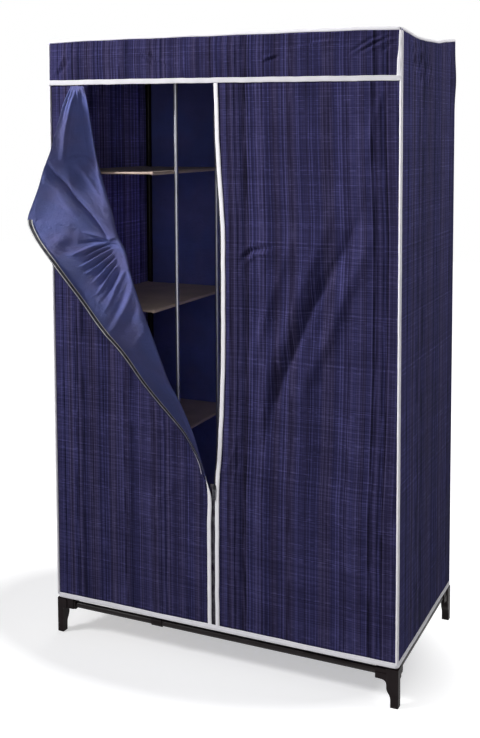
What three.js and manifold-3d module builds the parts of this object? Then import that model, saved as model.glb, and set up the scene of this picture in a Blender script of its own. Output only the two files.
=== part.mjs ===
// A portable fabric wardrobe: a knock-down frame of round steel tube in moulded plastic legs and
// corner joints, a narrow shelf bay on the left, a hanging rail on the right, and a sewn cover with
// white binding whose zipped front is partly open, with the left door's corner folded out.
// Millimetres, +Z up, +X to the right, the front faces -Y. The origin is on the floor, at the
// middle of the whole box.

import * as THREE from 'three';
import { mergeVertices } from 'three/addons/utils/BufferGeometryUtils.js';
import Module from 'manifold-3d';

const wasm = await Module();
wasm.setup();

// Overall sizes, outside the piping of the cover
const WIDTH = 900;
const DEPTH = 492;
const HEIGHT = 1500;

// Clearances
const GAP = 0.3; // between pieces that touch
const FIT = 0.3; // around a tube in its socket
const OVERRUN = 3; // how far a cutting shape runs past what it cuts
const MERGE = 1e-4; // vertices closer than this are one

// Frame tubes
const TUBE = 16;
const TUBE_WALL = 1;
const THIN_TUBE = 10; // the bright uprights of the shelf bay
const POST_INSET = 14; // from the outside of the cover to an upright's centre line
const TUBE_SIDES = 20;

// Legs
const LEG_HEIGHT = 88;
const LEG_BLOCK = 28;
const LEG_EDGE = 2.5; // rounding of the upright edges
const FOOT = 18;
const FOOT_SHAFT = 17; // straight part of the foot
const OGEE_TOP = 47; // where the foot has widened to the block
const BASE_RAIL_DROP = 14; // from the top of a leg to the base rails' centre line
const UPRIGHT_SOCKET = 23; // depth of the upright's socket
const BRACKET_REACH = 26; // arched arm, out from the block
const BRACKET_TIP = 3; // upright end of the arched arm, under its sleeve
const COLLAR_REACH = 18; // plain collar, out from the block
const COLLAR_WIDTH = 23;
const COLLAR_HEIGHT = 25;
const COLLAR_STEP_REACH = 6;
const SLEEVE_WALL = 2;

// Corner joints at the top
const JOINT_BLOCK = 19.6;
const JOINT_EDGE = 2;
const JOINT_SKIRT = 26; // below the rail's centre line
const JOINT_SLEEVE = 24; // socket for a rail, out from the block
const TOP_RAIL_DROP = 26; // from the top of the cover to the top rails' centre line
const JOINT_CAP_WALL = 5;
const JOINT_DROP = 2; // below the underside of the roof, whose arc dips there

// Tee joints
const TEE_LENGTH = 28;
const TEE_BRANCH = 26; // from the run's centre line to the end of the branch
const TEE_WEB = 1.5; // solid left between run and branch

// Shelf bay
const BAY_X = -163; // centre line of the divider
const BAY_POST_Y = 115; // the divider's two uprights, each side of the middle
const SHELF_TOPS = [1182, 847, 512, 177];
const SHELF_THICKNESS = 5;
const SHELF_SLEEVE = 9; // round sleeve along each side of a shelf
const SHELF_INSET = 5; // of the board's front and rear edges, from the ends of the sleeves
const SLEEVE_SIDES = 12;

// Cover
const CLOTH = 1.6;
const PIPING = 4.8;
const PIPING_SIDES = 8;
const PANEL_INSET = 2; // from the outside of the piping to the face of a panel
const ROOF_SAG = 10;
const SAG_STEPS = 10;
const HEM_LIFT = 2; // of the cover's lower edge, above the legs
const HEM_BAND = 12;
const HEM_INSET = 1.4;
const HEM_THICKNESS = 2.8;
const HEADER_HEIGHT = 112;
const HEADER_BAND = 12;
const BAND_THICKNESS = 2.4;

// Doors and zip
const FOLD_TOP_INSET = 78; // from the side of the cover to where a door's fold line meets the header
const FOLD_FOOT_X = 24; // where that line meets the zip
const FOLD_FOOT_Z = 440;
const FOLD_GAP = 0.9; // between a fold line and the fixed part of its door
const EDGE_BAND = 11; // white binding on the free edge of a door
const EDGE_BAND_THICKNESS = 2.6;
const ZIP_GAP = 11; // between the two white bands
const RIGHT_BOW = 19; // how far the open edge of the right door bows
const BOW_STEPS = 14;
const TAPE_THICKNESS = 1;
const COIL_WIDTH = 4.4;
const COIL_THICKNESS = 2.8;
const LEFT_BAND_LEAN = 8;
const LEFT_BAND_TAPER = 30;

// Folded-out corner of the left door
const FLAP_REACH = 104; // how far the free corner stands out from the door
const FLAP_COLUMNS = 14;
const FLAP_ROWS = 36;
const FOLD_LEAD = 2.6; // how far the cloth runs forward before it turns
const HAIRPIN_WIDTH = 6; // half width of the turn at the fold
const HAIRPIN_DEPTH = 20; // half depth of that turn, at its fullest
const PLEAT_DEPTH = 7;
const PLEATS = 2.5;
const SWAG_DEPTH = 14; // hollow of the cloth between the fold and the free edge
const FLAP_TAPE_WIDTH = 14;
const FLAP_BAND_WIDTH = 11;
const STRIP_GAP = 0.5;
const STRIP_COLUMNS = 3;
const FIRST_STRIP_ROW = 11; // the free corner
const LAST_STRIP_ROW = 35;
const STRIP_LIMIT_SHARE = 0.4; // of the width of the cloth there

// Zip slider and pull
const SLIDER_WIDTH = 10;
const SLIDER_LENGTH = 15;
const SLIDER_THICKNESS = 2.2;
const SLIDER_NOSE = 3;
const BAIL_WIDTH = 1.8;
const BAIL_RISE = 4.6;
const BAIL_LENGTH = 9;
const BAIL_WALL = 1.4;
const PULL_BAR = 1.4;
const PULL_RING_WIDTH = 6.4;
const PULL_LIMB = 1.4;
const PULL_THICKNESS = 1.4;
const PULL_LENGTH = 34;
const PULL_RING_LENGTH = 8;
const PULL_PLATE_WIDTH = 8;

// Curves of the folded corner, as shares of half the width across, of the door's opened height up
// from the foot of the fold, and of FLAP_REACH outwards. The crest is the turn of the fold, seen
// as its right-hand outline, and the third share there is of HAIRPIN_DEPTH.
const CREST_SHARES = [
  [-0.761, 0.986, 0.3],
  [-0.714, 0.938, 0.45],
  [-0.642, 0.812, 0.6],
  [-0.588, 0.737, 0.7],
  [-0.512, 0.613, 0.9],
  [-0.438, 0.512, 1],
  [-0.362, 0.4, 1],
  [-0.293, 0.325, 1],
  [-0.199, 0.218, 0.8],
  [-0.122, 0.138, 0.55],
  [-0.062, 0.07, 0.35],
  [-0.04, 0.012, 0.2],
];
const FREE_EDGE_SHARES = [
  [-0.848, 0.982, 0.22],
  [-0.895, 0.88, 0.42],
  [-0.932, 0.78, 0.68],
  [-0.978, 0.69, 0.94],
  [-0.988, 0.662, 1],
  [-0.941, 0.613, 1.01],
  [-0.825, 0.547, 1.02],
  [-0.644, 0.451, 1.03],
  [-0.422, 0.337, 0.96],
  [-0.23, 0.213, 0.73],
  [-0.102, 0.119, 0.4],
  [-0.064, 0.055, 0.24],
  [-0.058, 0.012, 0.14],
];
const PLEAT_FADE_SHARE = 0.3; // of the fold's length, over which the pleats at the header fade

// Values worked out from those above
const tubeRadius = TUBE / 2;
const socketRadius = tubeRadius + FIT;
const sleeveSize = 2 * (socketRadius + SLEEVE_WALL);
const postX = WIDTH / 2 - POST_INSET;
const postY = DEPTH / 2 - POST_INSET;
const topRailZ = HEIGHT - TOP_RAIL_DROP;
const baseRailZ = LEG_HEIGHT - BASE_RAIL_DROP;
const uprightSeatZ = LEG_HEIGHT - UPRIGHT_SOCKET;
const hemZ = LEG_HEIGHT + HEM_LIFT;
const panelX = WIDTH / 2 - PANEL_INSET;
const panelY = DEPTH / 2 - PANEL_INSET;
const pipingX = WIDTH / 2 - PIPING / 2;
const pipingY = DEPTH / 2 - PIPING / 2;
const pipingZ = HEIGHT - PIPING / 2;
const clearX = pipingX - PIPING / 2 - GAP;
const clearY = pipingY - PIPING / 2 - GAP;
const clearZ = pipingZ - PIPING / 2 - GAP;
const roofZ = HEIGHT - PANEL_INSET;
const jointTopZ = roofZ - CLOTH - JOINT_DROP;
const headerZ = HEIGHT - HEADER_HEIGHT;
const hemTopZ = hemZ + HEM_BAND + GAP;
const doorTopZ = headerZ - 2 * GAP;
const doorFrontY = -(panelY - CLOTH - GAP);
const doorMidY = doorFrontY + CLOTH / 2;
const bandInner = ZIP_GAP / 2;
const bandOuter = bandInner + EDGE_BAND;
const zipTopZ = FOLD_FOOT_Z - GAP;
const coilFrontY = doorMidY - COIL_THICKNESS / 2;

// Materials
const finish = (color, roughness, metalness = 0) => new THREE.MeshStandardMaterial({ color, roughness, metalness });
const NAVY_CLOTH = finish(0x23244f, 0.9);
const LINING_CLOTH = finish(0x3a4684, 0.75);
const WHITE_BINDING = finish(0xf1f0f3, 0.85);
const BROWN_PLASTIC = finish(0x2b2326, 0.5);
const BROWN_TUBE = finish(0x2a2226, 0.35, 0.4);
const BRIGHT_TUBE = finish(0xc9c9cf, 0.25, 0.9);
const ZIP_TAPE = finish(0x1c1a26, 0.8);
const ZIP_METAL = finish(0x33323a, 0.4, 0.7);
const SHELF_CLOTH = finish(0xd8cbb4, 0.85);

const wardrobe = new THREE.Group();
const cabinet = new THREE.Group(); // the frame and cover, about the middle between the legs
wardrobe.add(cabinet);

function add(name, geometry, material, parent = cabinet) {
  geometry.computeVertexNormals();
  const mesh = new THREE.Mesh(geometry, material);
  mesh.name = name;
  parent.add(mesh);
  return mesh;
}

const vec = (x, y, z) => new THREE.Vector3(x, y, z);

// Joining and cutting

function solidOf(geometry) {
  const bare = geometry.clone();
  bare.deleteAttribute('normal');
  bare.deleteAttribute('uv');
  const merged = mergeVertices(bare, MERGE);
  const mesh = new wasm.Mesh({
    numProp: 3,
    vertProperties: new Float32Array(merged.attributes.position.array),
    triVerts: new Uint32Array(merged.index.array),
  });
  return new wasm.Manifold(mesh);
}

function geometryOf(solid) {
  const mesh = solid.getMesh();
  const geometry = new THREE.BufferGeometry();
  geometry.setAttribute('position', new THREE.Float32BufferAttribute(mesh.vertProperties, 3));
  geometry.setIndex(Array.from(mesh.triVerts));
  return geometry;
}

function joined(...geometries) {
  return geometries.map(solidOf).reduce((whole, one) => whole.add(one));
}

// Shapes in the three planes. An outline's x and y become the two axes named, and the extrusion
// is centred on the third.

function extruded(shape, length, curveSegments = 6) {
  const geometry = new THREE.ExtrudeGeometry(shape, { depth: length, bevelEnabled: false, curveSegments });
  return geometry.translate(0, 0, -length / 2);
}

function inXZ(shape, length, curveSegments) {
  const turn = new THREE.Matrix4().makeBasis(vec(1, 0, 0), vec(0, 0, 1), vec(0, -1, 0));
  return extruded(shape, length, curveSegments).applyMatrix4(turn);
}

function inYZ(shape, length, curveSegments) {
  const turn = new THREE.Matrix4().makeBasis(vec(0, 1, 0), vec(0, 0, 1), vec(1, 0, 0));
  return extruded(shape, length, curveSegments).applyMatrix4(turn);
}

function outline(points) {
  return new THREE.Shape(points.map(([x, y]) => new THREE.Vector2(x, y)));
}

function roundedRectangle(width, height, radius) {
  const [x, y] = [width / 2, height / 2];
  const shape = new THREE.Shape();
  shape.moveTo(x, -y + radius);
  shape.absarc(x - radius, y - radius, radius, 0, Math.PI / 2);
  shape.absarc(-x + radius, y - radius, radius, Math.PI / 2, Math.PI);
  shape.absarc(-x + radius, -y + radius, radius, Math.PI, 1.5 * Math.PI);
  shape.absarc(x - radius, -y + radius, radius, 1.5 * Math.PI, 2 * Math.PI);
  return shape;
}

function slab(x0, x1, y0, y1, z0, z1) {
  const box = new THREE.BoxGeometry(x1 - x0, y1 - y0, z1 - z0);
  return box.translate((x0 + x1) / 2, (y0 + y1) / 2, (z0 + z1) / 2);
}

function alignedTo(geometry, from, to) {
  const middle = from.clone().add(to).divideScalar(2);
  const turn = new THREE.Quaternion().setFromUnitVectors(vec(0, 0, 1), to.clone().sub(from).normalize());
  return geometry.applyQuaternion(turn).translate(middle.x, middle.y, middle.z);
}

function rod(diameter, from, to, sides = TUBE_SIDES) {
  const circle = new THREE.Shape();
  circle.absarc(0, 0, diameter / 2, 0, 2 * Math.PI);
  return alignedTo(extruded(circle, from.distanceTo(to), sides / 2), from, to);
}

function pipe(diameter, from, to) {
  const ring = new THREE.Shape();
  ring.absarc(0, 0, diameter / 2, 0, 2 * Math.PI);
  const bore = new THREE.Path();
  bore.absarc(0, 0, diameter / 2 - TUBE_WALL, 0, 2 * Math.PI, true);
  ring.holes.push(bore);
  return alignedTo(extruded(ring, from.distanceTo(to), TUBE_SIDES / 2), from, to);
}

// Legs: one moulding used at all four corners. About the upright's centre line its outer faces
// look to +x and -y, the arched arm reaches to -x and the plain collar to +y.

function legColumn() {
  const half = LEG_BLOCK / 2;
  const toe = half - FOOT;
  const bend = (FOOT_SHAFT + OGEE_TOP) / 2;
  const ogee = new THREE.Shape(); // under the arched arm
  ogee.moveTo(half, 0);
  ogee.lineTo(half, LEG_HEIGHT);
  ogee.lineTo(-half, LEG_HEIGHT);
  ogee.lineTo(-half, OGEE_TOP);
  ogee.bezierCurveTo(-half, bend, toe, bend, toe, FOOT_SHAFT);
  ogee.lineTo(toe, 0);
  const collarFoot = LEG_HEIGHT - COLLAR_HEIGHT;
  const straight = new THREE.Shape(); // under the plain collar
  straight.moveTo(-half, 0);
  straight.lineTo(-toe, 0);
  straight.lineTo(-toe, collarFoot - LEG_EDGE);
  straight.quadraticCurveTo(-toe, collarFoot, -toe + LEG_EDGE, collarFoot);
  straight.lineTo(half, collarFoot);
  straight.lineTo(half, LEG_HEIGHT);
  straight.lineTo(-half, LEG_HEIGHT);
  const prism = extruded(roundedRectangle(LEG_BLOCK, LEG_BLOCK, LEG_EDGE), LEG_HEIGHT, 3);
  prism.translate(0, 0, LEG_HEIGHT / 2);
  return solidOf(prism)
    .intersect(solidOf(inXZ(ogee, 2 * LEG_BLOCK, 8)))
    .intersect(solidOf(inYZ(straight, 2 * LEG_BLOCK, 3)));
}

// The arch below the arm lies in line with the foot; the sleeve round the rail is wider
function archedArm() {
  const half = LEG_BLOCK / 2;
  const tip = half + BRACKET_REACH;
  const sleeveHalf = sleeveSize / 2;
  const under = baseRailZ - sleeveHalf;
  const shape = new THREE.Shape();
  shape.moveTo(0, baseRailZ);
  shape.lineTo(-tip, baseRailZ);
  shape.lineTo(-tip, under - BRACKET_TIP);
  shape.bezierCurveTo(-half - BRACKET_REACH / 3, under - BRACKET_TIP, -half, under - BRACKET_TIP, -half, OGEE_TOP);
  shape.lineTo(0, OGEE_TOP);
  const arch = inXZ(shape, FOOT - LEG_EDGE, 8).translate(0, (FOOT + LEG_EDGE) / 2 - half, 0);
  const sleeve = slab(-tip, 0, -sleeveHalf, sleeveHalf, under, baseRailZ + sleeveHalf);
  return joined(arch, sleeve);
}

function collarArm() {
  const half = LEG_BLOCK / 2;
  const collarMid = LEG_HEIGHT - COLLAR_HEIGHT / 2;
  const reach = half + COLLAR_REACH;
  const collar = inXZ(roundedRectangle(COLLAR_WIDTH, COLLAR_HEIGHT, LEG_EDGE), reach, 3);
  collar.translate(0, reach / 2, collarMid);
  const stepReach = reach + COLLAR_STEP_REACH;
  const step = inXZ(roundedRectangle(sleeveSize, sleeveSize, LEG_EDGE), stepReach, 3);
  step.translate(0, stepReach / 2, baseRailZ);
  return joined(collar, step);
}

function legSolid() {
  const half = LEG_BLOCK / 2;
  const railAt = (x, y) => vec(x, y, baseRailZ);
  const far = half + BRACKET_REACH + COLLAR_REACH + COLLAR_STEP_REACH + OVERRUN;
  return legColumn()
    .add(archedArm())
    .add(collarArm())
    .subtract(solidOf(rod(2 * socketRadius, vec(0, 0, uprightSeatZ), vec(0, 0, LEG_HEIGHT + OVERRUN))))
    .subtract(solidOf(rod(2 * socketRadius, railAt(-half, 0), railAt(-far, 0))))
    .subtract(solidOf(rod(2 * socketRadius, railAt(0, half), railAt(0, far))));
}

// Top corner joint, in the same frame as the leg: sockets for the upright below, for one rail
// towards -x and for one towards +y.

function jointSolid() {
  const half = JOINT_BLOCK / 2;
  const bottom = topRailZ - JOINT_SKIRT;
  const height = jointTopZ - bottom;
  const block = extruded(roundedRectangle(JOINT_BLOCK, JOINT_BLOCK, JOINT_EDGE), height, 3);
  block.translate(0, 0, bottom + height / 2);
  const railAt = (x, y) => vec(x, y, topRailZ);
  const reach = half + JOINT_SLEEVE;
  return joined(block, rod(sleeveSize, railAt(0, 0), railAt(-reach, 0)), rod(sleeveSize, railAt(0, 0), railAt(0, reach)))
    .intersect(solidOf(slab(-reach - OVERRUN, half, -half, reach + OVERRUN, bottom, jointTopZ)))
    .subtract(solidOf(rod(2 * socketRadius, vec(0, 0, bottom - OVERRUN), vec(0, 0, jointTopZ - JOINT_CAP_WALL))))
    .subtract(solidOf(rod(2 * socketRadius, railAt(-half, 0), railAt(-reach - OVERRUN, 0))))
    .subtract(solidOf(rod(2 * socketRadius, railAt(0, half), railAt(0, reach + OVERRUN))));
}

// Tee joint: the run goes round a rail along x, the branch takes a tube towards +y

function teeSolid() {
  const branchFoot = socketRadius + TEE_WEB;
  return joined(
    rod(sleeveSize, vec(-TEE_LENGTH / 2, 0, 0), vec(TEE_LENGTH / 2, 0, 0)),
    rod(sleeveSize, vec(0, 0, 0), vec(0, TEE_BRANCH, 0)),
  )
    .subtract(solidOf(rod(2 * socketRadius, vec(-TEE_LENGTH, 0, 0), vec(TEE_LENGTH, 0, 0))))
    .subtract(solidOf(rod(2 * socketRadius, vec(0, branchFoot, 0), vec(0, TEE_BRANCH + OVERRUN, 0))));
}

// Frame

const corners = [
  { name: 'front_right', x: postX, y: -postY, turn: 0 },
  { name: 'front_left', x: -postX, y: -postY, turn: -Math.PI / 2 },
  { name: 'rear_left', x: -postX, y: postY, turn: Math.PI },
  { name: 'rear_right', x: postX, y: postY, turn: Math.PI / 2 },
];
const leg = geometryOf(legSolid());
const joint = geometryOf(jointSolid());
const uprightTopZ = jointTopZ - JOINT_CAP_WALL - GAP;
for (const { name, x, y, turn } of corners) {
  const legMesh = add(`leg_${name}`, leg.clone(), BROWN_PLASTIC);
  legMesh.position.set(x, y, 0);
  legMesh.rotation.z = turn;
  const jointMesh = add(`top_joint_${name}`, joint.clone(), BROWN_PLASTIC);
  jointMesh.position.set(x, y, 0);
  jointMesh.rotation.z = turn;
  add(`upright_${name}`, pipe(TUBE, vec(x, y, uprightSeatZ + GAP), vec(x, y, uprightTopZ)), BROWN_TUBE);
}

const railRings = [
  { level: 'base', z: baseRailZ, block: LEG_BLOCK },
  { level: 'top', z: topRailZ, block: JOINT_BLOCK },
];
for (const { level, z, block } of railRings) {
  const endX = postX - block / 2 - GAP;
  const endY = postY - block / 2 - GAP;
  for (const [side, sign] of [['front', -1], ['rear', 1]]) {
    add(`${level}_rail_${side}`, pipe(TUBE, vec(-endX, sign * postY, z), vec(endX, sign * postY, z)), BROWN_TUBE);
  }
  for (const [side, sign] of [['left', -1], ['right', 1]]) {
    add(`${level}_rail_${side}`, pipe(TUBE, vec(sign * postX, -endY, z), vec(sign * postX, endY, z)), BROWN_TUBE);
  }
}

// Divider of the shelf bay: a cross rail at the base and at the top, two bright uprights between

const branchSeat = socketRadius + TEE_WEB + GAP;
const tee = geometryOf(teeSolid());
function addTee(name, x, y, z, turn) {
  const mesh = add(name, tee.clone(), BROWN_PLASTIC);
  mesh.position.set(x, y, z);
  mesh.rotation.z = turn;
}
for (const { level, z } of railRings) {
  const end = postY - branchSeat;
  add(`divider_${level}_rail`, pipe(TUBE, vec(BAY_X, -end, z), vec(BAY_X, end, z)), BROWN_TUBE);
  addTee(`divider_${level}_tee_front`, BAY_X, -postY, z, 0);
  addTee(`divider_${level}_tee_rear`, BAY_X, postY, z, Math.PI);
}
for (const [side, sign] of [['front', -1], ['rear', 1]]) {
  const y = sign * BAY_POST_Y;
  const post = solidOf(pipe(THIN_TUBE, vec(BAY_X, y, baseRailZ), vec(BAY_X, y, topRailZ)));
  const saddle = (z) => solidOf(rod(TUBE + 2 * GAP, vec(BAY_X, y - TUBE, z), vec(BAY_X, y + TUBE, z)));
  add(`divider_upright_${side}`, geometryOf(post.subtract(saddle(baseRailZ)).subtract(saddle(topRailZ))), BRIGHT_TUBE);
}

// Hanging rail, from the divider to the right side
addTee('hanging_rail_tee_left', BAY_X, 0, topRailZ, -Math.PI / 2);
addTee('hanging_rail_tee_right', postX, 0, topRailZ, Math.PI / 2);
add('hanging_rail', pipe(TUBE, vec(BAY_X + branchSeat, 0, topRailZ), vec(postX - branchSeat, 0, topRailZ)), BROWN_TUBE);

// Shelves: a stiffened cloth board with a round sleeve along each side. The left sleeve lies
// between the corner uprights, and the right one against the divider's uprights.

function shelf(topZ) {
  const z = topZ - SHELF_THICKNESS / 2;
  const leftX = -postX;
  const rightX = BAY_X - THIN_TUBE / 2 - GAP - SHELF_SLEEVE / 2;
  const endY = postY - tubeRadius - GAP;
  const sleeve = (x) => rod(SHELF_SLEEVE, vec(x, -endY, z), vec(x, endY, z), SLEEVE_SIDES);
  const edgeY = endY - SHELF_INSET;
  const board = slab(leftX, rightX, -edgeY, edgeY, z - SHELF_THICKNESS / 2, z + SHELF_THICKNESS / 2);
  return geometryOf(joined(board, sleeve(leftX), sleeve(rightX)));
}
SHELF_TOPS.forEach((topZ, index) => add(`shelf_${index + 1}`, shelf(topZ), SHELF_CLOTH));

// Cover panels. The roof hangs in a shallow arc between its front and rear edges.

const roofDip = (y) => ROOF_SAG * (1 - (y / clearY) ** 2);
const sagStations = (from, to) => Array.from({ length: SAG_STEPS + 1 }, (_, i) => from + ((to - from) * i) / SAG_STEPS);

function roofPanel() {
  const ys = sagStations(-clearY, clearY);
  const top = ys.map((y) => [y, roofZ - roofDip(y)]);
  const under = ys.map((y) => [y, roofZ - CLOTH - roofDip(y)]).reverse();
  return inYZ(outline([...top, ...under]), 2 * clearX);
}

function sidePanel(sign) {
  const top = sagStations(-clearY, clearY).map((y) => [y, clearZ - roofDip(y)]);
  const rear = [[panelY, clearZ], [panelY, hemTopZ]];
  const panel = inYZ(outline([[-clearY, hemTopZ], ...top, ...rear]), CLOTH);
  return panel.translate(sign * (panelX - CLOTH / 2), 0, 0);
}

add('roof_panel', roofPanel(), NAVY_CLOTH);
add('side_panel_left', sidePanel(-1), NAVY_CLOTH);
add('side_panel_right', sidePanel(1), NAVY_CLOTH);
const backX = panelX - CLOTH - GAP;
add('back_panel', slab(-backX, backX, panelY - CLOTH, panelY, hemTopZ, clearZ), NAVY_CLOTH);
add('header_panel', slab(-clearX, clearX, -panelY, -panelY + CLOTH, headerZ + HEADER_BAND + GAP, clearZ), NAVY_CLOTH);
const headerBandY = -panelY + CLOTH;
add(
  'header_binding',
  slab(-clearX, clearX, headerBandY - BAND_THICKNESS, headerBandY, headerZ, headerZ + HEADER_BAND),
  WHITE_BINDING,
);

function hemRing() {
  const ring = outline([
    [-WIDTH / 2 + HEM_INSET, -DEPTH / 2 + HEM_INSET],
    [WIDTH / 2 - HEM_INSET, -DEPTH / 2 + HEM_INSET],
    [WIDTH / 2 - HEM_INSET, DEPTH / 2 - HEM_INSET],
    [-WIDTH / 2 + HEM_INSET, DEPTH / 2 - HEM_INSET],
  ]);
  const inset = HEM_INSET + HEM_THICKNESS;
  ring.holes.push(outline([
    [-WIDTH / 2 + inset, -DEPTH / 2 + inset],
    [-WIDTH / 2 + inset, DEPTH / 2 - inset],
    [WIDTH / 2 - inset, DEPTH / 2 - inset],
    [WIDTH / 2 - inset, -DEPTH / 2 + inset],
  ]));
  return extruded(ring, HEM_BAND).translate(0, 0, hemZ + HEM_BAND / 2);
}
add('hem_binding', hemRing(), WHITE_BINDING);

// Piping round the roof, mitred at its corners, and down the two front corners

function roofPiping() {
  const side = sagStations(-pipingY, pipingY);
  const dip = (y) => pipingZ - roofDip((y / pipingY) * clearY);
  const path = [
    ...side.map((y) => vec(pipingX, y, dip(y))),
    ...side.toReversed().map((y) => vec(-pipingX, y, dip(y))),
  ];
  const positions = [];
  const faces = [];
  const up = vec(0, 0, 1);
  path.forEach((point, i) => {
    const before = point.clone().sub(path.at(i - 1)).normalize();
    const after = path[(i + 1) % path.length].clone().sub(point).normalize();
    const ahead = before.clone().add(after).normalize();
    const mitre = 1 / ahead.dot(after);
    const across = ahead.clone().cross(up).normalize();
    const rise = across.clone().cross(ahead);
    for (let k = 0; k < PIPING_SIDES; k += 1) {
      const angle = (2 * Math.PI * k) / PIPING_SIDES;
      const corner = point.clone()
        .addScaledVector(across, (mitre * PIPING * Math.cos(angle)) / 2)
        .addScaledVector(rise, (PIPING * Math.sin(angle)) / 2);
      positions.push(...corner);
      const [a, b] = [i * PIPING_SIDES + k, i * PIPING_SIDES + ((k + 1) % PIPING_SIDES)];
      const next = ((i + 1) % path.length) * PIPING_SIDES;
      const [c, d] = [next + k, next + ((k + 1) % PIPING_SIDES)];
      faces.push(a, b, d, a, d, c);
    }
  });
  return closedBody(positions, faces);
}

// Turns a closed set of triangles outwards, whichever way they were listed
function closedBody(positions, faces) {
  let volume = 0;
  const at = (i) => vec(...positions.slice(3 * i, 3 * i + 3));
  for (let f = 0; f < faces.length; f += 3) {
    volume += at(faces[f]).dot(at(faces[f + 1]).cross(at(faces[f + 2])));
  }
  const outward = volume > 0 ? faces : faces.toReversed();
  const geometry = new THREE.BufferGeometry();
  geometry.setAttribute('position', new THREE.Float32BufferAttribute(positions, 3));
  geometry.setIndex(outward);
  return geometry;
}

add('roof_piping', roofPiping(), WHITE_BINDING);
for (const [side, sign] of [['left', -1], ['right', 1]]) {
  const at = (z) => vec(sign * pipingX, -pipingY, z);
  add(`corner_piping_${side}`, rod(PIPING, at(hemTopZ), at(clearZ), PIPING_SIDES), WHITE_BINDING);
}

// Doors. Each is one cloth that can fold out along a slanting line from the header down to the
// end of the closed zip, so each is made as a fixed part and a corner that turns on that line.

const foldTopX = WIDTH / 2 - FOLD_TOP_INSET;
const doorLine = (share) => [foldTopX + (FOLD_FOOT_X - foldTopX) * share, doorTopZ + (FOLD_FOOT_Z - doorTopZ) * share];
const foldLength = Math.hypot(foldTopX - FOLD_FOOT_X, doorTopZ - FOLD_FOOT_Z);
const foldSlope = foldLength / (doorTopZ - FOLD_FOOT_Z); // from across the line to along x
const foldGapX = FOLD_GAP * foldSlope;
const inDoorPlane = (shape) => inXZ(shape, CLOTH).translate(0, doorMidY, 0);

function fixedDoor(sign) {
  const [topX, topZ] = doorLine(0);
  const points = [
    [bandOuter + GAP, hemTopZ],
    [bandOuter + GAP, FOLD_FOOT_Z - GAP],
    [FOLD_FOOT_X + foldGapX, FOLD_FOOT_Z - GAP],
    [topX + foldGapX, topZ],
    [clearX, topZ],
    [clearX, hemTopZ],
  ];
  return inDoorPlane(outline(points.map(([x, z]) => [sign * x, z])));
}
add('left_door', fixedDoor(-1), NAVY_CLOTH);
add('right_door', fixedDoor(1), NAVY_CLOTH);

const bowStations = Array.from({ length: BOW_STEPS + 1 }, (_, i) => i / BOW_STEPS);
const openHeight = doorTopZ - FOLD_FOOT_Z - GAP;
const bowAt = (z) => RIGHT_BOW * Math.sin((Math.PI * (doorTopZ - z)) / openHeight);
const stationsFrom = (startZ) => bowStations.map((share) => startZ + (doorTopZ - startZ) * share);
const alongBow = (x, startZ) => stationsFrom(startZ).map((z) => [x + bowAt(z), z]);

function rightCorner() {
  const free = alongBow(bandOuter + GAP, FOLD_FOOT_Z + GAP);
  const [topX, topZ] = doorLine(0);
  return inDoorPlane(outline([...free, [topX, topZ], [FOLD_FOOT_X, FOLD_FOOT_Z + GAP]]));
}

function bowedStrip(fromX, toX, thickness, startZ) {
  const strip = outline([...alongBow(fromX, startZ), ...alongBow(toX, startZ).reverse()]);
  return inXZ(strip, thickness).translate(0, doorMidY, 0);
}
const coilHalf = COIL_WIDTH / 2;
const openTapeZ = FOLD_FOOT_Z + SLIDER_LENGTH / 2 + GAP; // just above the slider
add('right_door_corner', rightCorner(), NAVY_CLOTH);
add('right_corner_binding', bowedStrip(bandInner, bandOuter, EDGE_BAND_THICKNESS, FOLD_FOOT_Z + GAP), WHITE_BINDING);
const openTape = joined(
  bowedStrip(0, bandInner - GAP, TAPE_THICKNESS, openTapeZ),
  bowedStrip(0, coilHalf, COIL_THICKNESS, openTapeZ),
);
add('right_corner_zip_tape', geometryOf(openTape), ZIP_TAPE);

// Bands and zip below the end of the opening
const bandY0 = doorMidY - EDGE_BAND_THICKNESS / 2;
const bandY1 = doorMidY + EDGE_BAND_THICKNESS / 2;
add('right_door_binding', slab(bandInner, bandOuter, bandY0, bandY1, hemTopZ, zipTopZ), WHITE_BINDING);
const leftBand = outline([
  [-bandInner, hemTopZ],
  [-bandInner, zipTopZ - LEFT_BAND_TAPER],
  [-bandInner - LEFT_BAND_LEAN, zipTopZ],
  [-bandOuter, zipTopZ],
  [-bandOuter, hemTopZ],
]);
add('left_door_binding', inXZ(leftBand, EDGE_BAND_THICKNESS).translate(0, doorMidY, 0), WHITE_BINDING);
const tapeHalf = bandInner - GAP;
const closedTape = joined(
  slab(-tapeHalf, tapeHalf, doorMidY - TAPE_THICKNESS / 2, doorMidY + TAPE_THICKNESS / 2, hemTopZ, zipTopZ),
  slab(-coilHalf, coilHalf, coilFrontY, coilFrontY + COIL_THICKNESS, hemTopZ, openTapeZ - GAP),
);
add('closed_zip', geometryOf(closedTape), ZIP_TAPE);

// Folded-out corner of the left door. Across the fold the cloth leaves the door's face, turns
// back on itself at the crest and hangs out to the free edge; t runs down the fold, s across.

const openedHeight = doorTopZ - FOLD_FOOT_Z;
const crestCurve = new THREE.CatmullRomCurve3(
  CREST_SHARES.map(([x, z, out]) => vec((x * WIDTH) / 2, out * HAIRPIN_DEPTH, FOLD_FOOT_Z + z * openedHeight)),
  false,
  'centripetal',
);
const freeCurve = new THREE.CatmullRomCurve3(
  FREE_EDGE_SHARES.map(([x, z, out]) => vec((x * WIDTH) / 2, doorMidY - out * FLAP_REACH, FOLD_FOOT_Z + z * openedHeight)),
  false,
  'centripetal',
);

function rootAt(t) {
  const [x, z] = doorLine(t);
  return vec(-x, doorMidY, z);
}

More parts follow.
